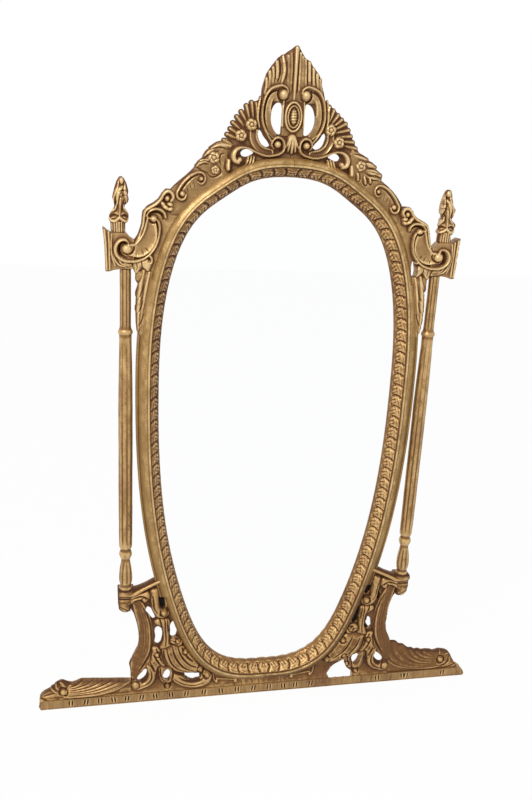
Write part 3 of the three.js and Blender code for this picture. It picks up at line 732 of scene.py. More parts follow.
def carve_crest():
    """Pierced crest: a reeded plume, fans of ribs, two great C-scrolls round the openings, and
    the S-mouldings under them. Its two sides are carved a little differently."""
    r = Relief(-186, 176, 1440, 1790, axis=CREST_AXIS)
    plume = [
        (-81, 1660), (-79, 1688), (-74, 1706), (-70, 1720), (-64, 1730), (-57, 1740), (-50, 1748),
        (-43, 1758), (-32, 1763), (-21, 1772), (-9, 1780), (-4, 1785), (4, 1785), (12, 1773),
        (22, 1759), (34, 1754), (43, 1741), (52, 1732), (60, 1722), (65, 1704), (72, 1686), (79, 1660),
    ]
    r.ground(plume, 7, 5, 12)
    fan = [(70, 1668), (84, 1663), (94, 1656), (105, 1648), (116, 1638), (128, 1628), (138, 1615),
           (146, 1601), (152, 1587), (160, 1573), (167, 1562), (172, 1556), (172, 1440), (60, 1490), (60, 1600)]
    for side, ribs in ((-1, FAN_LEFT), (1, FAN_RIGHT)):
        r.side = side
        r.ground(fan, 5)
        r.ground([(0, 1700), (60, 1690), (72, 1660), (74, 1600), (60, 1575), (60, 1500), (0, 1500)], 4)
        for x0, z0, x1, z1 in ribs:
            r.stroke([(x0, z0, 5, 11), ((x0 + x1) / 2, (z0 + z1) / 2, 6.6, 15), (x1, z1, 6.4, 14)], 11, crest_line)
    # Plume: a long middle rib, one bold fold that bends outwards over the left scroll, and broad
    # reeds that only meet in gouged lines.
    r.stroke([(-1, 1668, 4.4, 15), (-1, 1700, 4.6, 17), (-0.5, 1745, 5.2, 18), (0, 1780, 6, 16)], 8, rib)
    for side, cuts in (
        (-1, (((9, 1768), (7, 1740), (7.5, 1710), (8, 1682)), ((17, 1764), (14.5, 1735), (14.5, 1700), (15, 1686)),
              ((23, 1758), (21.5, 1735), (20.5, 1714), (18, 1694)), ((42, 1756), (39, 1738), (39, 1722), (43, 1704)),
              ((52, 1737), (50.5, 1722), (51, 1704)), ((59, 1730), (58, 1712), (60, 1694)),
              ((67, 1717), (66, 1702), (69, 1684)), ((74, 1700), (73, 1688), (76, 1668)))),
        (1, (((6, 1774), (5, 1740), (5, 1705), (5, 1680)), ((12, 1764), (14, 1738), (14, 1716), (15, 1696)),
             ((17, 1757), (19, 1738), (19.5, 1716), (20, 1700)), ((26, 1754), (27.5, 1738), (28, 1720), (30, 1700)),
             ((37, 1745), (38, 1728), (40, 1702)), ((48, 1728), (49, 1714), (51, 1698)),
             ((57, 1721), (58, 1708), (62, 1694)), ((64, 1707), (66, 1692), (70, 1676)))),
    ):
        r.side = side
        if side < 0:
            r.stroke([(35, 1700, 3.4, 15), (31, 1714, 4.4, 18), (29, 1730, 4.6, 19), (31, 1745, 4.6, 18),
                    (34, 1760, 4, 15)], 9, rib)
        for cut, wide in zip(cuts, (2.2, 1.5, 1.9, 2.8, 2.4, 2.0, 2.2, 2.0)):
            r.creases([cut], wide, 2.5 * wide)
        for k, (a, b) in enumerate(zip(cuts, cuts[1:])):
            middle = [((x0 + x1) / 2, (z0 + z1) / 2, 4.2 if k % 2 else 3.6, 13.5) for (x0, z0), (x1, z1) in zip(a, b)]
            if not (side < 0 and k == 2):  # the bold fold is there
                r.stroke(middle, 2.6)
    for side in (-1, 1):
        # Great C-scroll round the opening: hollow band with a bead on its outer edge.
        r.side = side
        band = [(36, 1684, 8, 17), (48, 1681, 10, 17), (60, 1670, 11, 18), (66, 1652, 11.5, 18),
                (67, 1632, 12, 18), (64, 1613, 12, 18), (57, 1597, 11, 17), (47, 1583, 8, 16)]
        r.stroke(band, 11, hollow_left)
        bead = [(17, 1680, 2.4, 18), (20, 1689, 2.8, 20), (30, 1695, 3.2, 21), (45, 1693, 3.2, 21),
                (58, 1687, 3.0, 21), (68, 1675, 2.8, 20), (74, 1659, 2.6, 20), (77, 1640, 2.6, 20),
                (77, 1621, 2.6, 20), (73, 1604, 2.6, 20), (66, 1590, 2.6, 19), (58, 1578, 2.6, 18), (51, 1569, 2.4, 16)]
        r.stroke(bead, 8)
        r.creases([[(40, 1688), (41, 1674), (35, 1664), (25, 1662), (16, 1668)],
                 [(40, 1684), (50, 1683), (61, 1675), (68, 1662), (72, 1644), (72.5, 1624), (68, 1604), (60, 1588)]],
                3.4, 7)
        r.boss(27.5, 1676, 11, 12, 26, 15)
        # Reed that follows the scroll outside its bead.
        r.stroke([(82, 1668, 2.5, 10), (86, 1645, 3.4, 13), (87, 1620, 3.4, 13), (82, 1600, 2.8, 12)], 6)
        # Lower volute that runs out into the long S-moulding and its hook.
        r.stroke([(96, 1594, 9, 13), (95, 1574, 10, 14), (86, 1557, 10, 14), (70, 1546, 9, 14), (52, 1543, 8, 13)],
                7, scoop)
        r.stroke([(88, 1592, 2.4, 15), (88, 1575, 2.4, 16), (81, 1561, 2.4, 16), (68, 1552, 2.4, 16),
                 (54, 1549, 2.2, 15)],
                7)
        s_bead = [(44, 1552, 2, 17), (50, 1559, 2.4, 18), (48, 1570, 2.8, 20), (40, 1577, 3, 21), (30, 1577, 3, 21),
                (22, 1570, 3, 21), (19, 1559, 3, 21), (22, 1547, 3, 21), (31, 1540, 3, 21), (44, 1536, 2.8, 21),
                (60, 1534, 2.8, 20), (76, 1537, 2.8, 20), (90, 1542, 2.8, 20), (104, 1548, 2.8, 20),
                (118, 1551, 3, 20), (130, 1549, 4, 21), (139, 1542, 5.4, 22), (143, 1531, 6.4, 23),
                (140, 1520, 6, 23), (131, 1516, 5, 22)]
        r.stroke(s_bead, 9)
        r.boss(128, 1522, 6.5, 6.5, 24, 12)
        r.boss(36, 1562, 8.5, 8.5, 24, 13)
        # Short reeds under the eye of the S-moulding.
        for x in (92, 99, 106):
            r.stroke([(x, 1531, 2.6, 15), (x + 3, 1519, 3, 19), (x + 6, 1510, 1.5, 20)], 6)
        r.stroke([(154, 1519, 4.5, 20), (155, 1508, 5.2, 22), (155, 1499, 4.6, 24)], 7)
    # Stem with the collar round the cabochon.
    r.ground([(-27, 1666), (-28, 1640), (-27, 1582), (27, 1582), (28, 1640), (27, 1666)], 7)
    ring = spiral((0, 0), 1, 90, 1, 1, 40)
    for rx, rz, w, top, rise in ((19.5, 33, 3.4, 14, 6), (13.5, 24.5, 2.6, 17, 8)):
        oval = np.c_[ring[:, 0] * rx, 1627 + ring[:, 1] * rz, np.full(40, w), np.full(40, top)]
        r.stroke(oval, rise, sharp=True)
    for side in (-1, 1):
        r.side = side
        r.stroke([(25.5, 1662, 2.2, 12), (26.5, 1640, 2.6, 13), (25.5, 1604, 2.2, 12)], 5)
    # Bud between the lower volutes, flaring into small reeds.
    r.boss(0, 1575, 12, 13, 18, 10)
    for x, z, w in ((0, 1550, 5.2), (9, 1553, 4.4), (16, 1560, 3.2)):
        for side in ((-1, 1) if x else (1,)):
            r.side = side
            r.stroke([(x * 0.35, 1578, w, 18), (x * 0.75, 1563, w, 19), (x, z - 6, w * 0.6, 14)], 9, rib)
    # Rosettes lie on the feet of the fan ribs.
    for side, places in ((-1, ((102, 1604), (126, 1578))), (1, ((95, 1602), (118, 1574)))):
        r.side = side
        for (x, z), phase in zip(places, (20, 65)):
            r.flower(x, z, 14.5, 5, 22, 13, phase)
    # Openings.
    for side in (-1, 1):
        r.side = side
        r.pierce([(30, 1656), (38, 1658), (47, 1652), (53, 1640), (56, 1625), (54, 1609), (47, 1595), (39, 1587),
                (30, 1586), (28, 1600), (27, 1630), (28, 1650)])
        r.pierce([(85, 1588), (82, 1594), (78, 1592), (70, 1580), (58, 1566), (54, 1559), (60, 1555), (70, 1557),
                (78, 1564), (83, 1575)])
        r.pierce([(93, 1540), (100, 1545), (110, 1548), (120, 1545), (125, 1538), (122, 1532), (112, 1530),
                (101, 1534)])
    r.trim(32)
    r.thickness = r.bevel(12, 4)
    return r


def carve_wing(side):
    """Flower cluster, leaf and C-scroll on the shoulder of the egg. The right one sits lower."""
    r = Relief(*((-306, -148) if side < 0 else (132, 300)), 1380, 1578, side, CREST_AXIS)
    if side < 0:
        edge = [(158, 1572), (172, 1560), (182, 1556), (194, 1549), (200, 1541), (208, 1538), (214, 1531),
                (216, 1524), (225, 1516), (233, 1503), (239, 1496), (252, 1483), (272, 1466), (284, 1455), (292, 1446)]
        shift = np.zeros(2)
    else:
        edge = [(152, 1564), (164, 1556), (171, 1555), (178, 1549), (188, 1546), (197, 1541), (199, 1532),
                (212, 1528), (219, 1518), (223, 1510), (231, 1505), (237, 1497), (237, 1489), (256, 1476),
                (268, 1466), (281, 1453), (292, 1439), (298, 1430)]
        shift = np.array([11.0, -12.0])
    r.ground([*edge, (292, 1385), (148, 1385)], 7, 5, 16)

    def c_scroll(knots):
        return [(x + shift[0], z + shift[1], *rest) for x, z, *rest in knots]

    # Slim C-scroll: a bead that curls round a small eye at the top and a larger one at the end.
    r.stroke(c_scroll([(226, 1484, 5, 14), (240, 1479, 7, 14), (252, 1468, 8, 14), (262, 1455, 8, 14),
            (267, 1443, 6, 14)]), 3, hollow_left)
    bead = [(226, 1466, 2, 16), (219, 1462, 2.6, 18), (212, 1467, 2.8, 18), (210, 1478, 3, 18), (216, 1487, 3, 18),
            (228, 1488, 3, 17), (241, 1482, 3, 17), (253, 1473, 3, 17), (264, 1461, 3, 17), (272, 1449, 3, 18),
            (277, 1438, 3.2, 19), (275, 1428, 3.2, 20), (267, 1423, 3.2, 20), (258, 1427, 3, 20), (255, 1435, 2.6, 18)]
    r.stroke(c_scroll(bead), 8)
    r.creases([c_scroll(((228, 1471), (222, 1466), (214, 1471), (214, 1480), (222, 1484))),
            c_scroll(((224, 1483), (238, 1478), (250, 1468), (260, 1456), (267, 1444), (270, 1436))),
            c_scroll(((270, 1440), (269, 1430), (262, 1429)))], 2.6, 4.5)
    for x, z, size in ((219, 1474, 5.5), (264, 1437, 7)):
        r.boss(x + shift[0], z + shift[1], size, size, 20, 10)
    for foot in ((238, 1468, 234, 1452), (246, 1461, 242, 1447), (253, 1453, 250, 1440)):
        x0, z0, x1, z1 = foot
        r.creases([c_scroll(((x0, z0), ((x0 + x1) / 2, (z0 + z1) / 2), (x1, z1)))], 1.4, 2.2)
    if side < 0:
        leaves = [((152, 1553, 9, 11), (176, 1553, 10, 14), (196, 1545, 6, 12)),
                ((188, 1545, 5, 13), (202, 1536, 7, 15), (212, 1527, 4, 12)),
                ((204, 1517, 6, 14), (218, 1512, 8, 16), (230, 1503, 5, 12))]
        lines = [((164, 1536), (172, 1533), (176, 1520), (172, 1508)), ((178, 1540), (190, 1536), (200, 1536)),
                ((200, 1514), (212, 1516), (224, 1512)), ((202, 1508), (214, 1509), (226, 1505)),
                ((168, 1492), (180, 1483), (194, 1479), (204, 1486)), ((204, 1488), (216, 1492), (230, 1500)),
                ((186, 1500), (184, 1492), (188, 1485)), ((176, 1502), (172, 1494), (174, 1488)),
                ((160, 1545), (176, 1549), (192, 1545)), ((205, 1530), (212, 1522), (222, 1520))]
        roses, pins = [(190, 1524, 15, 30), (186, 1496, 11, 75)], [((157, 1522), (156, 1500))]
    else:
        leaves = [((156, 1548, 10, 10), (176, 1542, 9, 14), (193, 1537, 6, 12)),
                ((190, 1530, 8, 13), (204, 1524, 9, 16), (216, 1520, 6, 12)),
                ((194, 1512, 9, 13), (212, 1507, 11, 17), (232, 1500, 7, 12)),
                ((196, 1497, 6, 13), (214, 1493, 7, 15), (232, 1490, 5, 12))]
        lines = [((186, 1530), (198, 1532), (212, 1528)), ((192, 1518), (206, 1517), (222, 1512)),
                ((190, 1506), (204, 1500), (220, 1500), (234, 1494)), ((196, 1492), (208, 1489), (228, 1490)),
                ((160, 1550), (176, 1547), (192, 1542)), ((200, 1510), (212, 1508), (226, 1504))]
        roses, pins = [(179, 1521, 14, 60)], [((172, 1506), (174, 1488)), ((190, 1498), (194, 1480)),
                ((204, 1495), (207, 1483))]
    for knots in leaves:
        r.stroke(knots, 6, fold)
    r.creases(lines, 2.2, 3.6)
    for x, z, size, phase in roses:
        r.flower(x, z, size, 5, 20, 10, phase)
    for (x0, z0), (x1, z1) in pins:
        r.creases([((x0 - 5, z0), (x1 - 5, z1), (x1, z1 - 5), (x1 + 5, z1), (x0 + 5, z0))], 2, 3)
        r.stroke([(x0, z0, 2, 13), ((x0 + x1) / 2, (z0 + z1) / 2, 3, 17), (x1, z1, 3.2, 17)], 7)
    r.trim(32)
    r.thickness = 11.6
    return r


def carve_bracket(side):
    """Great C-scroll against the egg, and the block with its volute and flared fin. The right
    one is carved a little lower and wider."""
    r = Relief(*((-464, -264) if side < 0 else (264, 464)), 1236, 1454, side)

    def fit(knots):
        k = np.asarray(knots, float).copy()
        if side > 0:
            k[:, 0] += 8 * np.exp(-(((k[:, 1] - 1365) / 45) ** 2))
            k[:, 1] -= 0.13 * np.maximum(k[:, 1] - 1300, 0)
        return k

    scroll = [(384, 1323), (377, 1334), (371, 1348), (367, 1364), (366, 1380), (364, 1393), (352, 1406), (338, 1414),
            (326, 1424), (318, 1438), (309, 1447), (298, 1447), (286, 1440), (262, 1420), (262, 1300), (316, 1238),
            (338, 1238), (342, 1246),
            (350, 1245), (371, 1244), (379, 1241),
            (383, 1248), (388, 1258)]
    r.ground(fit(scroll), 8)
    block = [(384, 1254), (384, 1323), (396, 1331), (404, 1340), (441, 1340), (447, 1343), (460, 1353), (457, 1330),
            (454, 1290), (453, 1247), (444, 1247), (432, 1251), (420, 1253)]
    r.ground(block, 17)
    # Reeds down the fin, and the curved ones that follow the volute.
    r.stroke([(455, 1346, 3.4, 21), (452, 1310, 3.6, 22), (450, 1252, 3.6, 21)], 6, rib)
    r.stroke([(445, 1340, 2.8, 21), (444, 1310, 3, 22), (443, 1252, 3, 21)], 6, rib)
    r.stroke([(438, 1336, 2.4, 21), (439, 1305, 2.8, 22), (436, 1280, 3, 22), (430, 1262, 2.6, 20)], 6, rib)
    for a, b in ((0, 0), (-7, 3), (-14, 5)):
        r.stroke([(434 + a, 1290 + a, 2.2, 21), (430 + a, 1276 + b, 3, 22), (421 + a, 1264 + b, 3, 22),
                 (404 + a, 1259 + b, 2, 20)],
                6, rib)
    # Great C-scroll: hollow band between the volute and the upper curl, with a thin ridge along
    # its outer side and a few nicks where it turns.
    band = fit([(390, 1300, 15, 27), (374, 1300, 18, 24), (360, 1309, 19, 21), (350, 1325, 19.5, 20),
            (346, 1345, 18, 20),
            (345, 1366, 13, 20)])
    r.stroke(band, 9, scoop)
    r.stroke(fit([(386, 1311, 2, 26), (375, 1321, 2.6, 24), (366, 1334, 2.8, 22), (359, 1350, 2.8, 21),
            (355, 1366, 2.6, 21),
            (352, 1380, 2.4, 21)]), 5)
    edge = fit([(381, 1316, 3, 22), (374, 1328, 4, 20), (368, 1345, 4.4, 19), (363, 1362, 4.4, 19),
            (361, 1380, 4.2, 19),
            (358, 1393, 4.2, 20), (346, 1402, 4.2, 20), (332, 1411, 4.2, 20), (321, 1423, 4.2, 21),
            (314, 1436, 4.4, 23), (304, 1442, 4.6, 24), (295, 1437, 4.4, 24), (292, 1427, 4, 24),
            (297, 1419, 3.4, 23)])
    r.stroke(edge, 12)
    r.boss(*fit([(306, 1425)])[0], 6.5, 7.5, 22, 14)
    for a, b in (((380, 1292), (378.5, 1282)), ((368, 1301), (361, 1291)), ((358, 1306), (350, 1298))):
        r.groove(fit([(*a, 1.3, 2.0), ((a[0] + b[0]) / 2, (a[1] + b[1]) / 2, 1.6, 3.2), (*b, 1.2, 1.6)]))
    # Volute: the bead sweeps round, turns inwards over a deep hollow, and ends on the ball.
    bead = fit([(397, 1311, 2.4, 27), (400, 1318, 3.4, 29), (407, 1324, 4.2, 30), (416, 1323, 4.6, 30),
            (425, 1315, 4.8, 30),
            (429.5, 1302, 4.8, 30), (427, 1289, 4.6, 30), (418, 1279, 4.4, 29), (404, 1273.5, 4.2, 28),
            (388, 1272.5, 4, 26),
            (371, 1275.5, 3.8, 24), (356, 1283, 3.6, 22), (344, 1294, 3.6, 22), (334, 1308, 3.4, 21),
            (327, 1326, 3.2, 20),
            (323.5, 1346, 3.2, 20), (324, 1362, 3.2, 20), (328, 1371, 3.2, 20), (334, 1375, 2.6, 21)])
    r.stroke(bead, 13)
    r.boss(402, 1302.5, 12.5, 12, 31, 14)
    r.groove([(398, 1315, 2.4, 5), (406, 1319, 3.2, 8), (414.5, 1317, 4, 10), (420, 1309, 4.6, 11),
            (421, 1299, 4.6, 11),
            (417, 1290, 4, 9), (409, 1284, 2.6, 5), (400, 1282, 1.6, 1.5)])
    r.creases([[(386, 1313), (384.5, 1304), (388, 1296), (395, 1291), (404, 1290), (412, 1294)]], 2.8, 6)
    # Upper curl: a small ball under a crescent hollow and its ridge.
    ridge = fit([(355, 1382, 3, 19), (348, 1393, 3.4, 21), (335, 1399, 3.6, 22), (321, 1397, 3.6, 22),
            (312, 1389, 3.4, 22),
            (309, 1379, 3, 21)])
    r.stroke(ridge, 12)
    r.boss(*fit([(338, 1376)])[0], 8.5, 8, 23, 13)
    r.creases([fit([(352, 1380), (347, 1388), (337, 1392), (325, 1391), (317, 1384), (314, 1374)]),
            fit([(349, 1374), (344, 1367.5), (336, 1366.5), (330, 1370)])], 3.4, 7)
    # Acanthus tuft between the curl and the top volute: four knobs parted by creases.
    for x, z, rx, rz, turn in ((309, 1403, 9, 6, 30), (299, 1411, 8, 5.5, 10), (298, 1400, 7.5, 5.5, -30),
                               (316, 1411, 8, 5, 50)):
        cx, cz = fit([(x, z)])[0]
        r.boss(cx, cz, rx, rz, 22, 9, turn)
    r.creases([fit([(318, 1402), (309, 1397), (300, 1394)]), fit([(310, 1414), (303, 1406), (294, 1405)])], 2, 4)
    # Leaf under the block, which hangs over the end of the cove in two points, and a small curl.
    r.mass([(392, 1270), (388, 1258), (379.5, 1242), (372, 1250), (365, 1258), (357, 1252), (350.5, 1248), (344, 1257),
            (342, 1270), (350, 1280), (372, 1278)], 11, 8, 9)
    r.stroke([(356, 1286, 2.4, 18), (346, 1286, 3, 20), (341.5, 1278, 3.2, 20), (343, 1269, 3, 19),
            (350, 1267, 2.4, 18)], 7)
    r.creases([[(355, 1281), (349, 1278), (350, 1272)], [(368, 1276), (366, 1268), (365, 1259)],
            [(392, 1272), (389, 1264), (386, 1254)], [(379, 1268), (377, 1258), (379, 1249)]], 2.2, 3.6)
    if side > 0:
        r.pierce([(337, 1291), (343, 1288), (347, 1276), (349, 1262), (347, 1250), (342, 1240), (336, 1240),
                (335, 1262), (334, 1278)])
    r.trim(32)
    r.thickness = 11.2 + 8.8 * np.clip((r.X * side - 380) / 6, 0, 1)
    return r


# --- foot panels

# Outer edge of a foot panel's pilaster, from the shelf down to the rail.
PILASTER_EDGE = [(392, 304), (388, 297), (383, 288), (378, 270), (373, 250), (370, 232), (368.5, 212), (368.5, 195),
        (371, 178), (377, 162), (385, 149)]


def carve_foot(side):
    """Pierced acanthus panel between the shelf, the oval and the rail. A hollow pilaster bounds
    it outside, and the two sides are carved by hand a little differently."""
    r = Relief(*((-398, 1) if side < 0 else (-1, 398)), 26, 372, side)
    left = side < 0
    heel = [(388, 143), (393, 134), (396, 124), (393, 110), (391, 92), (390.7, 27)] if left else \
        [(390.7, 140), (390.7, 27)]
    loss = [] if left else [(282, 27), (281, 34), (270, 46), (258, 56), (252, 68), (252, 80), (246, 83), (238, 78),
            (222, 70), (209, 60), (200, 48), (192, 37), (203, 27)]
    r.ground([(0, 27), (0, 60), (150, 100), (300, 372), (337, 365), (365, 357), (391, 351), *PILASTER_EDGE, *heel,
             *loss],
            4)
    # Low down the ground swells forward to meet the face of the rail.
    r.height = np.where(r.height > 0, np.maximum(r.height, 13.5 - 0.24 * np.maximum(r.Z - 26, 0)), r.height)
    # Pilaster: a hollow band with a rolled outer edge and a deep crease inside.
    band = [(378, 345, 13, 11), (371, 318, 15, 12), (362, 290, 18, 12), (354, 262, 19, 13), (350, 230, 20, 13),
            (349, 200, 20, 13), (352, 175, 21, 13), (359, 152, 24, 12), (366, 128, 26, 11), (372, 105, 21, 10),
            (376, 88, 16, 9)]
    r.stroke(band, 2.0, scoop)
    spine = np.array([(372, 330), (362, 296), (353, 262), (349, 228), (349, 195), (354, 165), (362, 140), (368, 118)],
            float)
    r.creases([spine + (shift, 0) for shift in (-7, 0, 7)], 2.6, 1.1)
    r.creases([[(356, 306), (346, 284), (337, 256), (333, 226), (332, 194), (335, 164), (344, 140), (356, 118),
              (368, 98)]],
            5.0, 7.5)
    # Swelling leaves and scrolls, each with its top, its dome and the reach of the dome.
    bodies = [
        ([(392, 350), (375, 354), (358, 358), (344, 360), (336, 350), (337, 337), (345, 326), (355, 322), (362, 330),
          (374, 330), (392, 322)], 9, 8, 10),
        ([(336, 366), (318, 368), (314, 350), (313, 330), (312, 312), (308, 301), (299, 302), (289, 297), (284, 288),
          (287, 278), (298, 272), (312, 271), (325, 279), (332, 296), (334, 315), (338, 340)], 9, 8, 10),
        ([(327, 262), (321, 270), (308, 273), (296, 271), (284, 265), (280, 254), (283, 240), (282, 215), (280, 195),
          (276, 180), (290, 172), (310, 172), (307, 186), (302, 200), (301, 225), (304, 240), (312, 247), (323, 252)],
         8, 8, 9),
        ([(281, 203), (271, 209), (258, 206), (248, 197), (245, 184), (252, 178), (264, 181), (274, 185), (282, 193)],
         9, 9, 9),
        ([(303, 174), (284, 180), (262, 182), (246, 178), (234, 168), (222, 148), (208, 126), (194, 107), (183, 92),
          (192, 85), (212, 82), (238, 84), (264, 92), (284, 108), (296, 126), (302, 150)], 9, 9, 16),
        ([(330, 178), (318, 178), (308, 170), (304, 150), (297, 130), (290, 114), (298, 109), (308, 112), (315, 102),
          (322, 84), (327, 86), (334, 110), (343, 122), (336, 140), (332, 156)], 7, 7, 9),
        ([(346, 121), (336, 119), (326, 101), (320, 82), (324, 64), (336, 50), (352, 43), (370, 38), (386, 41),
          (391, 54),
          (388, 67), (378, 72), (367, 69), (358, 62), (349, 66), (343, 78), (342, 92), (346, 106)], 9, 7, 8),
        ([(313, 108), (302, 117), (290, 112), (280, 113), (269, 105), (265, 90), (266, 74), (272, 60), (281, 51),
          (293, 52),
          (303, 60), (309, 76), (311, 92)], 8, 6, 8),
    ]
    lines = [
        [(390, 338), (374, 344), (359, 346), (349, 339), (350, 330)], [(382, 329), (366, 334), (358, 330)],
        [(331, 346), (328, 322), (326, 304), (318, 292)],
        [(309, 296), (308, 284), (299, 278), (290, 282)],
        [(311, 271), (307, 256), (303, 242)], [(296, 270), (295, 250), (294, 228), (292, 204), (294, 182)],
        [(288, 264), (288, 250), (286, 228)],
        [(277, 198), (265, 195), (255, 185)], [(268, 206), (260, 201), (252, 192)],
        [(326, 152), (317, 134), (306, 117)], [(319, 172), (312, 152), (304, 132)], [(336, 128), (329, 112), (322, 96)],
        [(339, 112), (332, 92), (333, 73), (343, 59), (358, 51), (372, 47)],
        [(307, 106), (306, 86), (300, 66), (288, 55)], [(273, 104), (270, 86), (273, 68)],
    ]
    balls = [(353, 333, 6, 7, 18), (299, 289, 8, 8.5, 21), (236, 158, 7, 7, 21), (190, 95, 5.5, 8, 21),
            (316, 152, 5.5, 6.5, 18),
            (378, 56, 9, 9.5, 19), (286, 46, 6.5, 6.5, 19), (258, 194, 6, 5, 20)]
    if left:
        bodies.append(([(278, 78), (266, 84), (250, 78), (240, 73), (226, 63), (210, 60), (196, 64), (188, 72),
                 (180, 84),
                 (168, 87), (159, 78), (155, 64), (160, 47), (176, 35), (200, 30), (226, 33), (250, 42),
                 (268, 57)],
                9, 9, 12))
        lines += [[(258, 176), (252, 156), (240, 134), (224, 116), (204, 104)], [(246, 172), (240, 156), (228, 138),
                                                                               (214, 124)],
                [(274, 176), (267, 150), (255, 126), (236, 104), (212, 93)], [(299, 166), (296, 142), (288, 122)],
                [(290, 172), (284, 146), (274, 122), (256, 102), (234, 90)], [(266, 70), (250, 56), (228, 46),
                                                                              (204, 43), (182, 50)],
                [(252, 72), (234, 60), (214, 55), (192, 58), (178, 68)],
                [(184, 82), (183, 72), (176, 63), (166, 62)]]
        balls.append((170, 75, 6.5, 7.5, 21))
    else:
        bodies.append(([(254, 118), (240, 114), (238, 104), (246, 96), (250, 84), (254, 70), (262, 58), (272, 56),
                (268, 72),
                (266, 90), (268, 106)], 8, 7, 8))
        lines += [[(262, 112), (256, 98), (260, 78), (266, 62)], [(264, 170), (254, 144), (236, 118), (210, 100)],
                [(288, 164), (278, 138), (260, 114), (232, 94)]]
        balls += [(244, 104, 6, 6, 17), (256, 72, 5, 6, 15)]
    for outline, top, dome, reach in bodies:
        r.mass(outline, top - 1, 1.45 * dome, reach)
    r.creases(lines, 3.2, 7.0)
    for x, z, rx, rz, top in balls:
        ring = spiral((x, z), max(rx, rz) + 2.4, 30, 0.9, 1, 14)
        r.groove(np.c_[ring, np.full(14, 3.0), np.full(14, 5.0)])
        r.boss(x, z, rx, rz, top + 3, 15)
    # Small C-scroll between the oval and the rail, with a ball at either end.
    r.stroke([(148, 64, 6, 10), (130, 61, 7, 11), (110, 58, 6, 11), (96, 56, 4, 10)], 5, scoop)
    r.stroke([(152, 74, 2.2, 12), (151, 60, 2.6, 14), (147, 50, 2.8, 15), (139, 46, 2.6, 15)], 7)
    r.stroke([(142, 54, 2.2, 13), (126, 53, 2.4, 14), (108, 51, 2.4, 14), (92, 49, 2.4, 14), (80, 52, 2.2, 13)], 6)
    r.boss(142, 47, 5.5, 5.5, 17, 9)
    r.boss(85, 44, 6.5, 7, 17, 10)
    for x in (14, 34, 52, 66):
        r.groove([(x, 30, 1.3, 1.6), (x + 1, 38, 1.5, 2.2), (x + 3, 46, 1.0, 1.2)])
    # Openings.
    openings = [
        [(350, 302), (345, 307), (338, 304), (331, 295), (326, 284), (323, 273), (328, 271), (334, 277), (341, 287)],
        [(321, 238), (315, 241), (308, 237), (303, 225), (303, 208), (307, 194), (314, 188), (321, 192), (321, 215)],
        [(278, 250), (272, 255), (266, 250), (262, 236), (261, 222), (265, 211), (272, 208), (278, 212), (279, 230)],
        [(352, 106), (346, 102), (345, 92), (350, 81), (359, 73), (369, 70), (373, 76), (368, 86), (359, 97)],
        [(287, 104), (281, 99), (278, 88), (279, 75), (285, 68), (293, 69), (299, 77), (298, 90), (293, 100)],
    ] if left else [
        [(316, 226), (312, 228), (309, 214), (311, 200), (316, 197), (320, 202), (319, 214)],
        [(344, 104), (339, 99), (342, 88), (350, 78), (360, 72), (368, 75), (368, 84), (361, 94), (352, 102)],
        [(284, 108), (276, 105), (271, 95), (272, 82), (276, 74), (281, 78), (288, 90), (290, 102)],
    ]
    # Blind pockets beside the egg, painted as dark shadow.
    for pocket in [[(312, 339), (305, 341), (300, 334), (297, 318), (297, 302), (303, 298), (309, 303),
                    (312, 320)]] if left else [
            [(313, 345), (304, 346), (298, 332), (294, 312), (299, 306), (308, 314), (314, 330)],
            [(343, 302), (339, 310), (336, 305), (335, 292), (339, 284), (342, 290)],
            [(281, 266), (273, 262), (265, 242), (262, 219), (268, 210), (277, 216), (281, 236), (283, 254)],
            [(311, 216), (308, 212), (304, 200), (306, 190), (312, 188), (316, 193), (311, 202)]]:
        r.sink(pocket)
    for opening in openings:
        r.pierce(opening, (1, -5) if left else (4, -6))
    if left:
        r.pierce([(243, 79), (234, 77), (224, 69), (212, 64), (202, 67), (192, 69), (193, 74), (206, 76), (222, 80),
                (234, 82)], (0, -9))
    r.trim(31)
    r.thickness = r.bevel(10, 2)
    return r


# --- base wings, rail and shelves

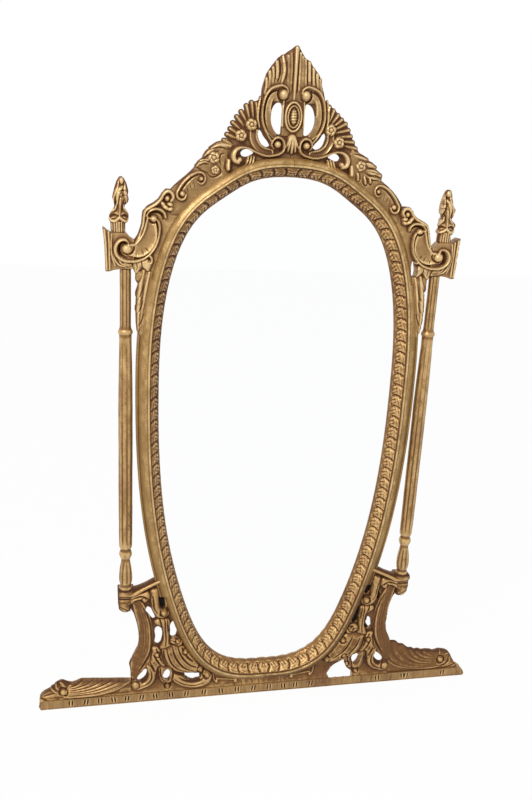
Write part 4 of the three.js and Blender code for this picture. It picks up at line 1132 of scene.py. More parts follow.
def carve_base_wing(side):
    """Shell-ribbed wing along the rail. Its ribs spring from a knob near its end, and its face
    leans back towards the top edge. The right one rises higher against the foot panel."""
    left = side < 0
    r = Relief(*((-650, -381) if left else (381, 630)), 24, 84 if left else 134, side)

    def lean(knots):
        """From levels as seen in the leaning face to levels in the front plane."""
        k = np.array(knots, float)
        k[:, 1] = np.where(k[:, 1] > 34, 33 + (k[:, 1] - 34) * (0.75 if left else 0.86), k[:, 1] - 1)
        return k

    if left:
        edge = [(383, 79), (420, 84), (460, 88), (500, 93), (530, 96), (538, 92), (546, 87), (555, 84), (563, 85),
                (572, 90), (580, 96), (588, 97), (597, 91), (603, 85), (606, 78), (613, 75), (617, 66), (624, 61),
                (634, 54), (642, 44), (646, 34), (646, 25), (383, 25)]
        knob = (580, 56)
        lower = [(592, 44, 3, 13), (575, 38, 3.4, 17), (545, 36, 3.4, 18), (510, 36, 3.4, 18), (480, 39, 3.4, 18),
                (450, 47, 3.2, 17), (420, 59, 3, 16), (392, 76, 2.6, 14)]
        leaf = [(573, 40), (545, 37), (510, 37), (480, 41), (450, 49), (420, 60), (390, 78), (386, 92), (540, 96),
                (552, 88), (562, 84)]
        parting = [[(572, 45), (535, 43), (500, 45), (466, 52), (434, 64), (402, 80)],
                [(572, 51), (535, 50), (502, 53), (470, 62), (442, 74), (416, 87)],
                [(571, 57), (535, 57), (504, 62), (476, 72), (452, 84), (436, 92)],
                [(570, 63), (537, 65), (508, 72), (484, 83), (466, 93)],
                [(567, 69), (540, 73), (516, 82), (498, 94)], [(563, 75), (544, 82), (528, 96)]]
        crest = [[(572, 70, 4, 13), (582, 82, 7, 16), (588, 93, 6, 15)], [(590, 62, 4, 13), (599, 74, 6, 15),
                                                                         (600, 86, 4.6, 14)],
                [(592, 52, 4, 12), (607, 62, 6, 14), (614, 72, 4, 13)]]
        hollows_at = [[(640, 36), (626, 27), (608, 25), (594, 30)], [(606, 52), (620, 48), (632, 44)]]
    else:
        edge = [(383, 147), (410, 146), (418, 141), (425, 132), (440, 129), (450, 118), (458, 112), (470, 111),
                (478, 104),
                (490, 106), (502, 100), (515, 101), (530, 99), (540, 94), (550, 96), (558, 99), (568, 97), (580, 94),
                (590, 88), (597, 79), (600, 70), (607, 56), (615, 42), (622, 27), (622, 25), (383, 25)]
        knob = (563, 64)
        lower = [(575, 40, 3, 12), (545, 37, 3.4, 15), (505, 36, 3.4, 15), (465, 41, 3.4, 15), (435, 48, 3.4, 15),
                (410, 58, 3.4, 15), (392, 72, 3.2, 14)]
        ribs = [
            [(552, 45, 3, 12), (505, 44, 4.5, 14), (465, 49, 6, 15), (430, 62, 7.5, 15), (404, 84, 8, 15),
             (390, 112, 8, 14)],
            [(553, 51, 3, 12), (508, 51, 4.5, 14), (470, 58, 6, 15), (440, 74, 7.5, 15), (420, 98, 8, 15),
             (408, 128, 7, 13)],
            [(553, 58, 3, 12), (515, 59, 4.2, 15), (482, 67, 5, 15), (458, 84, 6, 15), (442, 106, 6.5, 14),
             (434, 124, 5, 12)],
            [(553, 65, 3, 12), (520, 67, 4, 15), (492, 75, 4.6, 15), (472, 90, 5, 15), (462, 106, 4.5, 13)],
            [(552, 72, 3, 12), (522, 76, 4, 15), (500, 84, 4.2, 15), (484, 99, 4, 13)],
            [(551, 79, 3, 12), (527, 84, 3.8, 14), (508, 96, 3.6, 13)],
            [(551, 86, 3, 12), (534, 92, 3.2, 13)],
        ]
        crest = [[(556, 78, 4, 13), (560, 88, 7, 15), (560, 96, 5, 14)], [(572, 76, 4, 13), (582, 84, 6, 15),
                                                                         (590, 84, 4, 13)],
                [(578, 62, 4, 12), (590, 66, 6, 14), (597, 70, 4, 12)], [(580, 52, 4, 11), (596, 50, 6, 12),
                                                                         (606, 48, 4, 11)]]
        hollows_at = [[(590, 74), (588, 56), (576, 44), (566, 42)], [(612, 44), (598, 36), (584, 33)]]
    outline = lean(edge)
    r.ground(outline, 6 if left else 9, 4, 12)
    r.height = np.maximum(r.height, 13.5 - 0.55 * np.maximum(r.Z - 25, 0))
    if left:
        # One swelling leaf, parted by long grooves that spring from the knob.
        r.mass(lean(leaf), 13, 5, 9)
        r.creases([lean(line) for line in parting], 2.6, 3.4)
    else:
        for knots in ribs:
            r.stroke(lean(knots), 3.6, rib)
    for knots in crest:
        r.stroke(lean(knots), 8, fold)
    r.stroke(lean(lower), 8)
    r.creases([lean(line) for line in hollows_at], 4.5, 4.5)
    x, z = lean([knob])[0]
    ring = spiral((x, z), 12, 20, 0.95, 1, 16)
    r.groove(np.c_[ring, np.full(16, 3), np.full(16, 4.5)])
    r.boss(x, z, 9, 8.5, 19, 13)
    # The edge is cut off to the outline again, and the face leans back above the knob.
    r.inside = np.minimum(r.inside, r.distance_in(outline))
    r.height -= np.maximum(r.Z - 44, 0) * (0.34 if left else 0.20)
    return r


# Places of the gouge cuts along the rail, spaced by eye when it was made.
GOUGE_PAIRS = (-560, -517, -478, -440, -402, -360, -321, -275, -230, -179, -128, -80, -30, 17, 61, 98, 146, 358, 441,
        452, 572)


def carve_rail():
    """Straight rail with rounded ends. Pairs of short upright gouge cuts are spaced along it,
    over a fine line near the floor. Its back is splintered away under the lost scroll."""
    r = Relief(-650, 648, -2, 30)
    r.ground([(-643, 0), (641, 0), (645, 6), (640, 18), (628, 28), (-632, 28), (-644, 22), (-648, 12)], 16)
    for k, x in enumerate(GOUGE_PAIRS):
        lean = 1.4 * np.sin(1.7 * k)
        for shift in (-4.2, 4.2):
            r.groove([(x + shift - lean, 7, 1.8, 3.0), (x + shift, 14, 2.6, 5.2), (x + shift + lean, 24, 1.5, 2.6)])
    r.groove([(-640, 3.6, 1.2, 1.4), (0, 3.4, 1.3, 1.6), (638, 3.6, 1.2, 1.4)])
    # Plane and knife marks: a slow sway, and nicks along the top arris.
    sway = 0.35 * np.sin(r.X / 61) * np.sin(r.Z / 9 + r.X / 150)
    nicks = 0.5 * (np.sin(r.X / 3.7) * np.sin(r.X / 23) > 0.82) * (r.Z > 25)
    r.height += sway - nicks
    torn = 14 - (r.Z - 6 + 1.5 * np.sin(r.X / 4.1) + np.sin(r.X / 1.9)) * 27 / 22
    r.thickness = np.where((r.X > 203) & (r.X < 280), np.clip(torn, -12, 14), 14)
    return r


def carve_shelf(side):
    """Shelf under a column. A thick slab with a bowed, rounded front runs out into an arm that
    rises to the oval. Below the slab hangs a block whose end is rolled under."""
    r = Relief(*((-429, -306) if side < 0 else (306, 429)), 292, 404, side)
    x = np.abs(r.X)
    r.ground([(385, 352), (392, 352), (392, 299), (402, 295), (414, 297), (424, 306), (426.5, 330), (425, 352),
            (427, 356),
            (427, 362), (424, 365.9), (385, 365.9), (372, 368.5), (352, 376.5), (338, 384.5), (308, 400), (308, 376),
            (338, 366), (352, 361), (366, 357), (380, 353)], 8)
    # Arm: one thick roll that dips where it leaves the slab, then climbs to the oval.
    r.stroke([(394, 354, 6, 23), (382, 354.5, 6.2, 22), (370, 360, 6.4, 19), (352, 369.5, 6.2, 17),
            (334, 377.5, 5.8, 16),
            (310, 389, 5.4, 15)], 9)
    # Slab: bowed in plan, with its top edge rounded over a third of its height.
    over = np.clip((r.Z - 357) / 9.2, -1, 1)
    bow = 23.6 - 8.5 * np.clip(np.abs(x - 405) / 22, 0, 2) ** 2.2
    slab = bow - 9 * (1 - np.sqrt(1 - np.clip(over, 0, 1) ** 2)) - 3 * (1 - np.sqrt(1 - np.clip(-over, 0, 0.9) ** 2))
    r.lay(slab, np.minimum(np.minimum(x - 384, 427.2 - x), np.minimum(r.Z - 350.5, 366 - r.Z)))
    # Block: a narrow neck, the roll, and the crease under which its end curls in.
    block = 17.5 - 6.5 * np.clip(np.abs(x - 406) / 21, 0, 2) ** 2.4
    r.lay(block - 2.4 * np.exp(-(((r.Z - 339.5) / 2.6) ** 2)), np.minimum(np.minimum(x - 391, 426.3 - x),
            np.minimum(r.Z - 322, 351 - r.Z)))
    r.mass([(398, 338), (412, 337), (423, 331), (425, 318), (421, 306), (412, 298), (402, 297), (396, 304), (394, 318)],
           9, 10, 12)
    r.creases([[(424, 338), (410, 341), (393, 340)], [(423, 317), (412, 312), (403, 306), (399, 299)]], 3.0, 3.6)
    r.trim(39)
    r.thickness = np.where(x > 384, 23.5, 12.0)
    return r


# --- leaf drops, finials, cabochon

def carve_leaf_drop(side):
    """Leaf that hangs below a bracket on the outside of the frame. Its lobes lap one over the
    next, each one widening downwards to a blunt tip."""
    r = Relief(*((-388, -336) if side < 0 else (336, 388)), 1084, 1252, side)
    tips = [(1227, 381), (1187, 381), (1151, 382), (1118, 379.5)] if side < 0 else \
        [(1215, 382), (1189, 378), (1156, 381), (1124, 380)]
    edge = [(377, 1250), (381, 1245)]
    for z, x in tips:
        edge += [(x, z + 9), (x + 0.4, z), (x - 2.5, z - 6), (x - 7, z - 10)]
    edge += [(374, 1094), (370, 1085)]
    r.ground(edge + [(337, 1085), (337, 1250)], 7, 6, 14)
    # One broad fold runs down the middle, and a fine one follows the frame.
    r.stroke([(361, 1249, 5, 17), (367, 1222, 7, 19), (371, 1192, 7.5, 19), (373, 1160, 7.5, 19), (374, 1128, 6, 17),
            (374, 1100, 4, 13)], 7, fold)
    r.stroke([(347, 1246, 3, 14), (354, 1215, 4, 16), (360, 1180, 4, 16), (366, 1144, 3.4, 15), (370, 1106, 2, 12)], 4)
    r.creases([[(x - 20, z + 26), (x - 15, z + 10), (x - 9, z - 3), (x - 4, z - 9)] for z, x in tips], 2.2, 3.0)
    r.trim(41)
    return r


def carve_finial(side):
    """Flame finial carved alike on both faces: reeded neck, collar of curled lips round two
    hollows, pinched waist, and a bud that opens at its tip."""
    r = Relief(*((-452, -390) if side < 0 else (390, 452)), 1338, 1480, side)
    if side < 0:
        edge = [(405, 1341), (405.5, 1362), (400, 1366), (397.5, 1373), (397.5, 1384), (401, 1391), (407, 1398),
                (407, 1404),
                (399, 1412), (397, 1420), (399.5, 1428), (398, 1437), (400, 1447), (403, 1457), (408, 1466),
                (414, 1471.5),
                (420, 1470), (426, 1460), (430, 1448), (433, 1436), (436, 1422), (433, 1412), (431, 1402), (434, 1394),
                (440, 1387), (443.5, 1379), (444.5, 1371), (440.5, 1364), (440, 1341)]
    else:
        edge = [(400, 1341), (400.5, 1362), (398.5, 1372), (399.5, 1385), (405, 1393), (405.5, 1405), (403, 1415),
                (403, 1426),
                (404, 1434), (403, 1441), (405.5, 1450), (407, 1460), (409, 1468), (414, 1474.3), (421, 1474.6),
                (426, 1468),
                (428.5, 1457), (430.5, 1448), (433.5, 1438), (436, 1431), (442, 1425.5), (440, 1417), (435, 1408),
                (433, 1399),
                (439, 1394), (445.5, 1388), (446.5, 1381), (442, 1377), (443.5, 1370), (439, 1364), (433, 1360),
                (435, 1341)]
    r.ground(edge, 2, 13, 17)
    e = 0 if side < 0 else -1.5
    for k in range(6):
        x = 408.5 + e + 5.6 * k
        r.stroke([(x, 1342, 2.8, 12 + k * (5 - k) * 0.8), (x + 0.5, 1364, 2.8, 12.5 + k * (5 - k) * 0.8)], 5)
    r.stroke([(443 + e, 1376, 2.6, 9), (439 + e, 1368, 4, 14), (430 + e, 1367, 4.4, 18), (419 + e, 1375, 4.4, 21),
            (410 + e, 1369, 4.4, 18), (402 + e, 1367, 3.6, 14), (399 + e, 1374, 2.6, 9)], 8)
    r.stroke([(443 + e, 1382, 2.6, 8), (438 + e, 1389, 3.6, 14), (430 + e, 1395, 3.6, 17), (426 + e, 1406, 2.6, 15)], 7,
            fold)
    r.stroke([(398.5 + e, 1382, 2.6, 8), (402 + e, 1389, 3.6, 14), (408 + e, 1396, 3.6, 17), (411 + e, 1406, 2.6, 15)],
            7, fold)
    r.stroke([(419, 1372, 2, 18), (418.5, 1386, 3, 20), (418, 1400, 3, 19), (417, 1416, 4, 19), (415, 1430, 3, 17)], 7,
            fold)
    r.stroke([(433, 1406, 3, 11), (432.5, 1420, 5, 16), (428, 1433, 5.4, 17), (423, 1446, 4, 15), (421, 1458, 2.4, 12)],
            7, fold)
    r.stroke([(402, 1412, 3.4, 12), (404.5, 1424, 5.4, 17), (407, 1437, 5.4, 17), (407, 1450, 3.6, 13),
            (409, 1462, 2.4, 11)], 7, fold)
    r.stroke([(424, 1408, 2.6, 15), (424, 1424, 5, 19), (419, 1439, 5, 20), (414, 1448, 4, 17)], 8, rib)
    r.creases([[(440 + e, 1377), (433 + e, 1381), (425 + e, 1380)], [(401 + e, 1377), (407 + e, 1381),
            (413 + e, 1380)]], 4.6, 7)
    r.creases([[(436, 1373), (428, 1374), (421, 1381)], [(403, 1372), (410, 1374), (416, 1381)],
             [(398, 1425), (408, 1428), (418, 1423)],
             [(403, 1438), (412, 1439), (421, 1436)], [(412, 1396), (411, 1408), (408, 1418)],
             [(428, 1400), (428, 1414), (430, 1424)]],
            1.9, 3.6)
    x, z = (413.5, 1456) if side < 0 else (415, 1456)
    r.groove([(x - 2, z + 8, 6, 5), (x, z - 2, 8.5, 8), (x + 1, z - 6, 7, 5)])
    r.boss(x + (0.5 if side < 0 else 1.5), z + (4 if side < 0 else 8), 5 if side < 0 else 7.5, 9.5, 13, 9)
    r.inside = np.minimum(r.inside, r.distance_in(edge))
    return r


def carve_cabochon():
    """Long oval bead at the heart of the crest, cut across into narrow rings."""
    r = Relief(-22, 10, 1604, 1654)
    r.boss(-6, 1627, 9, 20, 21, 10)
    r.height -= 1.8 * np.abs(np.sin((r.Z - 1627 - 0.12 * (r.X + 6)) * np.pi / 6.4)) ** 2
    r.thickness = -8
    return r


# --- mouldings round the egg

# Ends of the frame segments and of the liner pieces, in degrees from the right-hand side.
FRAME_SPANS = {"top": (26, 90), "side": (-42, 26), "bottom": (-90, -42)}
LINER_SPANS = {"top": (38, 142), "left": (142, 226), "bottom": (226, 314), "right": (-46, 38)}
LINER_WIDTH = 24.0
SPAN_GAP = 0.01  # degrees left open at each end of a liner piece
ALONG, ACROSS = 1.15, 1.05  # steps of the liner's grid


def stations(start, end, step):
    """Angles between two ends that step evenly along the sight edge."""
    fine = np.linspace(start, end, 4000)
    x, z, _, _ = egg(fine, 12.0)
    run = np.r_[0, np.cumsum(np.hypot(np.diff(x), np.diff(z)))]
    even = np.linspace(0, run[-1], max(3, int(run[-1] / step) + 1))
    return np.interp(even, run, fine), even


def frame_section(wide):
    """Front of the frame from the liner outwards, as (out, y, recess): a quirk, a half-round
    ridge and a long flat cove. The wide one ends in a bead and stands alone. The narrow one
    stops where the carved boards take over. Then come the side and the back."""
    # The third column is the recess shade. It dips on the crests of the ridge and the bead, where rubbed gold also
    # stands for a painted highlight, and a little across the middle of the cove, a painted light.
    turn = np.radians(np.linspace(168, 0, 9))
    ridge = np.c_[27.2 + 2.5 * np.cos(turn), -23.4 - 2.6 * np.sin(turn), 0.42 - 0.12 * np.sin(turn)]
    f = np.linspace(0, 1, 16)
    cove = np.c_[31.4 + (21.6 if wide else 14.1) * f, -22.8 + (13.8 if wide else 11.0) * f**1.5,
            0.47 - 0.06 * np.sin(np.pi * np.clip(f * 1.2, 0, 1)) + 0.3 * (f == 0)]
    lip = [(24.3, 17.3, 0.9), (24.3, -20.8, 0.86)]
    if wide:
        turn = np.radians(np.linspace(200, -10, 8))
        bead = np.c_[56.9 + 3.0 * np.cos(turn), -6.6 - 2.3 * np.sin(turn), 0.50 - 0.12 * np.sin(turn)]
        rear = [(60, 23.5, 0.5), (58.5, 26.5, 0.5), (56, 28, 0.5), (9.6, 28, 0.5), (9.6, 17.3, 0.5)]
    else:
        bead = np.array([(46.4, -9.6, 0.5), (46.8, -6, 0.62)])
        rear = [(46.8, 10.5, 0.5), (44, 10.5, 0.5), (44, 24, 0.5), (42.5, 27, 0.5), (40, 28, 0.5), (9.6, 28, 0.5),
                (9.6, 17.3, 0.5)]
    return np.array([*lip, *ridge, *cove, *bead, *rear])


def carry_round(section, angles):
    """Points of a section of (out, y) rows carried round the egg."""
    x, z, _, _ = egg(angles[:, None], section[None, :, 0])
    return np.stack([x, np.broadcast_to(section[None, :, 1], x.shape), z], -1)


def frame_segment(place, side):
    """Length of the frame between two joints: the section carried round the egg. Its surface
    sways with sines of the distance along it. Painted shade darkens it towards the floor, most
    on the right-hand side, and darkens the cove towards its outer edge."""
    low, high = FRAME_SPANS[place]
    start, end = (low, high) if side > 0 else (180 - high, 180 - low)
    angles, run = stations(start + 0.004, end - 0.004, 4.0)
    section = frame_section(place == "side")
    # The plane wandered as it was drawn by hand: the cove's depth and the ridge's line sway.
    lines = carry_round(section, angles)
    wander = 0.35 * np.sin(run / 47 + 1.3 * side) + 0.25 * np.sin(run / 19 + 0.7)
    front = (section[:, 0] > 25) & (section[:, 1] < 0)
    lines[..., 1] += wander[:, None] * front
    # Scraper lines run with the moulding. Painted shade darkens the frame towards the floor, most on the right-hand
    # side.
    out = section[None, :, 0] + 0.5 * np.sin(run / 83)[:, None]
    scraped = np.sin(out * 2.1 + 1.3 * np.sin(run / 140 + side)[:, None]) + 0.7 * np.sin(out * 4.7 + run[:, None] / 95)
    cove = front & (section[:, 0] > 30.5)
    lines[..., 1] += 0.16 * scraped * cove
    low = np.clip((460 - lines[..., 2]) / 180, 0, 1) * (2.8 if side > 0 else 1)
    # Painted light and shade across the cove: lighter by the ridge, darker towards the outer edge.
    worn = 0.10 * (section[:, 0] - 36) / 16
    return shell(lines, np.clip(section[:, 2] + (0.035 * scraped + worn) * cove + (0.03 + 0.08 * cove) * low, 0, 0.9))


def liner_piece(place):
    """Ribbon wound round a rod: along the run, a turn of ribbon swells and is cut off by a
    slanting gap. Leaf tongues notch its inner half. Depth falls in a slope to the sight lip."""
    start, end = LINER_SPANS[place]
    angles, _ = stations(start + SPAN_GAP, end - SPAN_GAP, ALONG)
    out = np.linspace(0.0, LINER_WIDTH, 24)
    slope = np.interp(out, [0, 1.2, 3, 13, 24], [11.5, 9.6, 7.0, -7.0, -18.5])
    pitch = bpy.context.scene.mirror_carving.ribbon / MM
    # Distance from the bottom of the egg, so that the pattern is the same on both sides.
    fine = np.linspace(-90, 270, 8000)
    fx, fz, _, _ = egg(fine, 12.0)
    along = np.r_[0, np.cumsum(np.hypot(np.diff(fx), np.diff(fz)))]
    at = np.interp((angles + 90) % 360, fine + 90, along)
    at = np.where(at > along[-1] / 2, along[-1] - at, at)
    turns = round(along[-1] / 2 / pitch)
    pitch = along[-1] / 2 / turns
    s, d = np.meshgrid(at, out, indexing="ij")
    lean = 0.20 * (d - 12) - 1.5 * np.sin(np.pi * (d - 4) / 16)
    u = (s + lean) / pitch % 1.0
    gap = np.exp(-(((u - 0.5) / 0.085) ** 2)) + 0.45 * np.exp(-(((u - 0.36) / 0.035) ** 2))
    swell = np.abs(np.sin(np.pi * (u - 0.5))) ** 0.55
    across = np.clip(1 - ((d - 12.6) / 10.2) ** 2, 0, 1) ** 0.42
    ribbon = 4.6 * across * (0.30 + 0.70 * swell) - 5.6 * gap * across
    tongue_at = (s - 0.9 * (d - 9)) / (pitch / 3) % 1.0
    inner = np.clip((12.5 - d) / 3, 0, 1) * np.clip((d - 2.2) / 1.5, 0, 1)
    ribbon -= 2.8 * inner * np.exp(-(((tongue_at - 0.5) / 0.16) ** 2))
    outer = np.clip((d - 16) / 2, 0, 1) * np.clip((21.5 - d) / 2, 0, 1)
    ribbon -= 0.9 * outer * np.exp(-(((tongue_at - 0.2) / 0.2) ** 2))
    lip = 1.2 * np.clip(1 - ((d - 1.2) / 1.3) ** 2, 0, 1) ** 0.5
    edge = 1.2 * np.clip(1 - ((d - 23.0) / 1.0) ** 2, 0, 1) ** 0.5
    hand = 0.7 * np.sin(s / 2.9 + 0.8 * d) * np.sin(d / 2.1 + s / 31) + 0.5 * np.sin(s / 7.3 + d)
    height = blur(ribbon + lip + edge + hand * across, 0.6)
    # Painted shade: the recess shade is raised towards the upper left, where the liner faces down and away from the
    # lamp, and lowered towards the lower right.
    film = 0.09 * np.cos(np.radians(angles - 135))[:, None]
    recess = hollows(height, ALONG, ACROSS, 0.25, 0.09) + film
    # Darker at the ribbon's edges, a dark joint line at its outer edge, and a painted shade along the sight lip.
    recess = np.clip(recess + 0.07 * (1 - across) * (d > 3) + 0.5 * np.exp(-(((d - 23.7) / 0.8) ** 2))
            + 0.06 * (d < 1.2), 0, 0.9)
    rear = np.array([(LINER_WIDTH, 17.0), (0.0, 17.0)])
    section = np.r_[np.c_[out, slope], rear]
    lines = carry_round(section, angles)
    lines[:, : len(out), 1] -= height
    shade = np.concatenate([recess, np.full((len(angles), 2), 0.6)], 1)
    return shell(lines, shade)


# --- turned pieces

COLUMN_AXIS = 405.0
COLUMN_SHAPE = [
    (366.3, 15.2), (368, 17.2), (370.5, 18), (373.5, 17.2), (376, 15.2), (379, 14.3), (383, 15.4), (388, 17),
    (398, 18.2), (410, 18), (430, 16.4), (444, 13.8), (454, 12.0), (459, 11.5), (461.5, 13.6), (465, 14.6),
    (468, 16.0), (472, 17.4), (476, 17.5), (480, 16.4), (484, 14.6), (487, 13.2), (490, 13.6), (494, 16.4),
    (498, 17.6), (530, 18.1), (600, 18.5), (900, 18.5), (980, 17.4), (1060, 15.7), (1086, 15.5), (1089, 16.2),
    (1090.5, 18.2), (1094, 18.6), (1098, 18.4), (1100.5, 15.8), (1103, 14.6), (1108, 14.1), (1200, 14.0),
    (1251.4, 14.0),
]


def turned_post(axis_x, shape, step, around, cutting):
    """Turned post: radius by level, less a cut that depends on level and angle. Its shade
    deepens in quirks, where the radius is less than its mean over a short length."""
    knots = np.array(shape)
    start, end = knots[[0, -1], 0]
    levels = np.r_[np.arange(start, end, step), end]
    radius = np.interp(levels, knots[:, 0], knots[:, 1])
    radius = np.convolve(np.pad(radius, 2, mode="edge"), [0.1, 0.2, 0.4, 0.2, 0.1], "valid")
    theta = np.linspace(0, 2 * np.pi, around, endpoint=False)
    z, a = np.meshgrid(levels, theta, indexing="ij")
    cut, hollow = cutting(z, a)
    r = radius[:, None] - cut
    rings = np.stack([axis_x + r * np.cos(a), r * np.sin(a), z], -1)
    quirk = np.clip((np.convolve(np.pad(radius, 6, mode="edge"), np.ones(13) / 13, "valid") - radius) * 0.22, -0.05,
            0.45)
    return shell(rings, np.clip(0.33 + hollow + quirk[:, None], 0, 1))


def between(z, low, high, fade=5.0):
    """1 between two levels, fading over that length at both ends."""
    return np.clip((z - low) / fade, 0, 1) * np.clip((high - z) / fade, 0, 1)


def column_cuts(z, a):
    """Reeds: the cut follows 1 less the root of 1 - v squared across each reed."""
    count = round(bpy.context.scene.mirror_carving.flutes)
    v = (a * count / (2 * np.pi)) % 1.0 * 2 - 1
    reed_depth = 1 - np.sqrt(np.clip(1 - v * v, 0, 1))
    shaft = between(z, 505, 1076, 22) * (0.30 + 0.9 * np.clip((930 - z) / 300, 0, 1))
    slim = between(z, 1106, 1262, 6)
    vase = between(z, 386, 452, 8)
    depth = 1.25 * shaft + 0.95 * slim + 1.35 * vase
    hand = 0.16 * np.sin(z / 33 + a) + 0.1 * np.sin(z / 11 + 2 * a)
    cut = depth * reed_depth + hand
    hollow = 0.62 * np.clip(depth, 0, 1) * np.clip(reed_depth * 1.3 - 0.15, 0, 1)
    return cut, hollow


# --- operators

def finish_of(name):
    """Finish that MIRROR_OT_finishes made under that name."""
    found = bpy.data.materials.get(name)
    if found is None:
        raise RuntimeError(f"finish {name} isn't made yet")
    return found


class MIRROR_OT_finishes(Operator):
    """Makes the gilding, bare wood, metal and silvering"""
    bl_idname = "mirror.finishes"
    bl_label = "Finishes"

    def execute(self, context):
        gilt, bare = context.scene.mirror_gilding, context.scene.mirror_bare
        gilding("Carved gilding", gilt, tone=(1.12, 1.11, 1.14), deep=1.35)
        gilding("Crest gilding", gilt, glaze=1.05, tone=(0.88, 0.86, 0.86), deep=1.30)
        # The feet, shelves and base wings are toned darker and warmer: partly their own colour, and partly a painted
        # shade, as they stand low, away from the lamp.
        gilding("Foot gilding in painted shade", gilt, glaze=1.25, tone=(0.54, 0.40, 0.25))
        gilding("Frame gilding", gilt, streak=(0.5, 1, 0.22), glaze=0.85, wear=0.9, tone=(1.02, 1.0, 0.92))
        gilding("Liner gilding", gilt, glaze=1.25, wear=1.3, tone=(0.90, 0.76, 0.58))
        gilding("Column gilding", gilt, streak=(1, 1, 0.12), wear=1.25, tone=(0.80, 0.69, 0.54))
        gilding("Base gilding", gilt, streak=(2.6, 1, 0.15), wear=1.1, tone=(1.12, 1.10, 1.12), brushed=3.2)
        gilding("Cap gilding", gilt, carved=False)
        bare_wood("Back softwood", tuple(bare.softwood))
        bare_wood("Turned beech", tuple(bare.beech))
        old_metal("Turn button brass", tuple(bare.brass), (0.16, 0.11, 0.05))
        old_metal("Fitting steel", tuple(bare.steel), (0.10, 0.065, 0.045), 90, 0.4)
        silvering("Mirror silver", tuple(bare.silver))
        slots = {
            "gilt_wood": "Cap gilding", "gilt_liner": "Liner gilding", "mirror_silver": "Mirror silver",
            "back_wood": "Back softwood", "beech_dowel": "Turned beech", "brass_button": "Turn button brass",
            "steel_fitting": "Fitting steel",
        }
        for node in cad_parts.values():
            old = node.data.materials[0].name.split(".")[0]
            node.data.materials[0] = finish_of(slots[old])
        return {"FINISHED"}


class MIRROR_OT_frame(Operator):
    """Sweeps the six moulded segments of the oval frame"""
    bl_idname = "mirror.frame"
    bl_label = "Oval Frame"

    def execute(self, context):
        for hand, side in SIDES:
            for place in FRAME_SPANS:
                add_piece(f"moulding_{place}_{hand}", frame_segment(place, side), finish_of("Frame gilding"),
                        [f"frame_{place}_{hand}"], bare=finish_of("Back softwood"))
        return {"FINISHED"}


class MIRROR_OT_liner(Operator):
    """Carves the ribbon liner inside the frame"""
    bl_idname = "mirror.liner"
    bl_label = "Ribbon Liner"

    def execute(self, context):
        for place in LINER_SPANS:
            add_piece(f"ribbon_{place}", liner_piece(place), finish_of("Liner gilding"), [f"liner_{place}"],
                    bare=finish_of("Back softwood"))
        return {"FINISHED"}


class MIRROR_OT_columns(Operator):
    """Turns and reeds the two columns, and carves the finials above them"""
    bl_idname = "mirror.columns"
    bl_label = "Columns and Finials"

    def execute(self, context):
        for hand, side in SIDES:
            post = turned_post(COLUMN_AXIS * side, COLUMN_SHAPE, 1.5, 96, column_cuts)
            add_piece(f"turned_column_{hand}", post, finish_of("Column gilding"), [f"column_{hand}"])
            bud = carve_finial(side).finish()
            add_piece(f"flame_finial_{hand}", bud.solid(bud.front), finish_of("Carved gilding"), [f"finial_{hand}"])
        return {"FINISHED"}


def add_board(name, relief, stands_for, finish="Carved gilding", clean=0.0, soften=0.7, painted_light_shift=0.0):
    """Adds a carved board in place of a CAD node. Its recess shade, and so its glaze, is made less by
    a painted light given for the piece, or more by a painted shade where that is below 0. It is
    less by `clean` more near the floor, which makes the piece lighter there."""
    relief.finish(soften)
    # Painted light or shade over the whole piece, and lighter near the floor.
    relief.recess = np.clip(relief.recess - painted_light_shift - clean * np.clip((75 - relief.Z) / 40, 0, 1), 0, 1)
    add_piece(name, relief.solid(relief.thickness), finish_of(finish), [stands_for], bare=finish_of("Back softwood"))


class MIRROR_OT_crest(Operator):
    """Carves the plume, fans and scrolls of the crest, and the flower wings beside it"""
    bl_idname = "mirror.crest"
    bl_label = "Crest"

    def execute(self, context):
        add_board("carved_crest", carve_crest(), "crest_panel", "Crest gilding")
        add_board("ringed_cabochon", carve_cabochon(), "crest_cabochon", "Crest gilding")
        for hand, side in SIDES:
            add_board(f"carved_wing_{hand}", carve_wing(side), f"crest_wing_{hand}", "Crest gilding")
        return {"FINISHED"}


class MIRROR_OT_shoulders(Operator):
    """Carves the scroll brackets that hold the oval to the columns, and the leaves below them"""
    bl_idname = "mirror.shoulders"
    bl_label = "Shoulder Brackets"

    def execute(self, context):
        for hand, side in SIDES:
            # Painted light: the left bracket more than the right.
            add_board(f"carved_bracket_{hand}", carve_bracket(side), f"shoulder_bracket_{hand}",
                    painted_light_shift=0.06 if side < 0 else 0.01)
            add_board(f"carved_leaf_drop_{hand}", carve_leaf_drop(side), f"leaf_drop_{hand}")
        return {"FINISHED"}


class MIRROR_OT_feet(Operator):
    """Carves the pierced foot panels and the shelves on which the columns stand"""
    bl_idname = "mirror.feet"
    bl_label = "Foot Panels and Shelves"

    def execute(self, context):
        for hand, side in SIDES:
            # Painted shade on the right foot; both feet are lighter near the floor.
            add_board(f"carved_foot_{hand}", carve_foot(side), f"foot_panel_{hand}", "Foot gilding in painted shade",
                    clean=0.10, soften=1.1, painted_light_shift=0 if side < 0 else -0.05)
            add_board(f"carved_shelf_{hand}", carve_shelf(side), f"foot_cap_{hand}", "Foot gilding in painted shade")
        return {"FINISHED"}


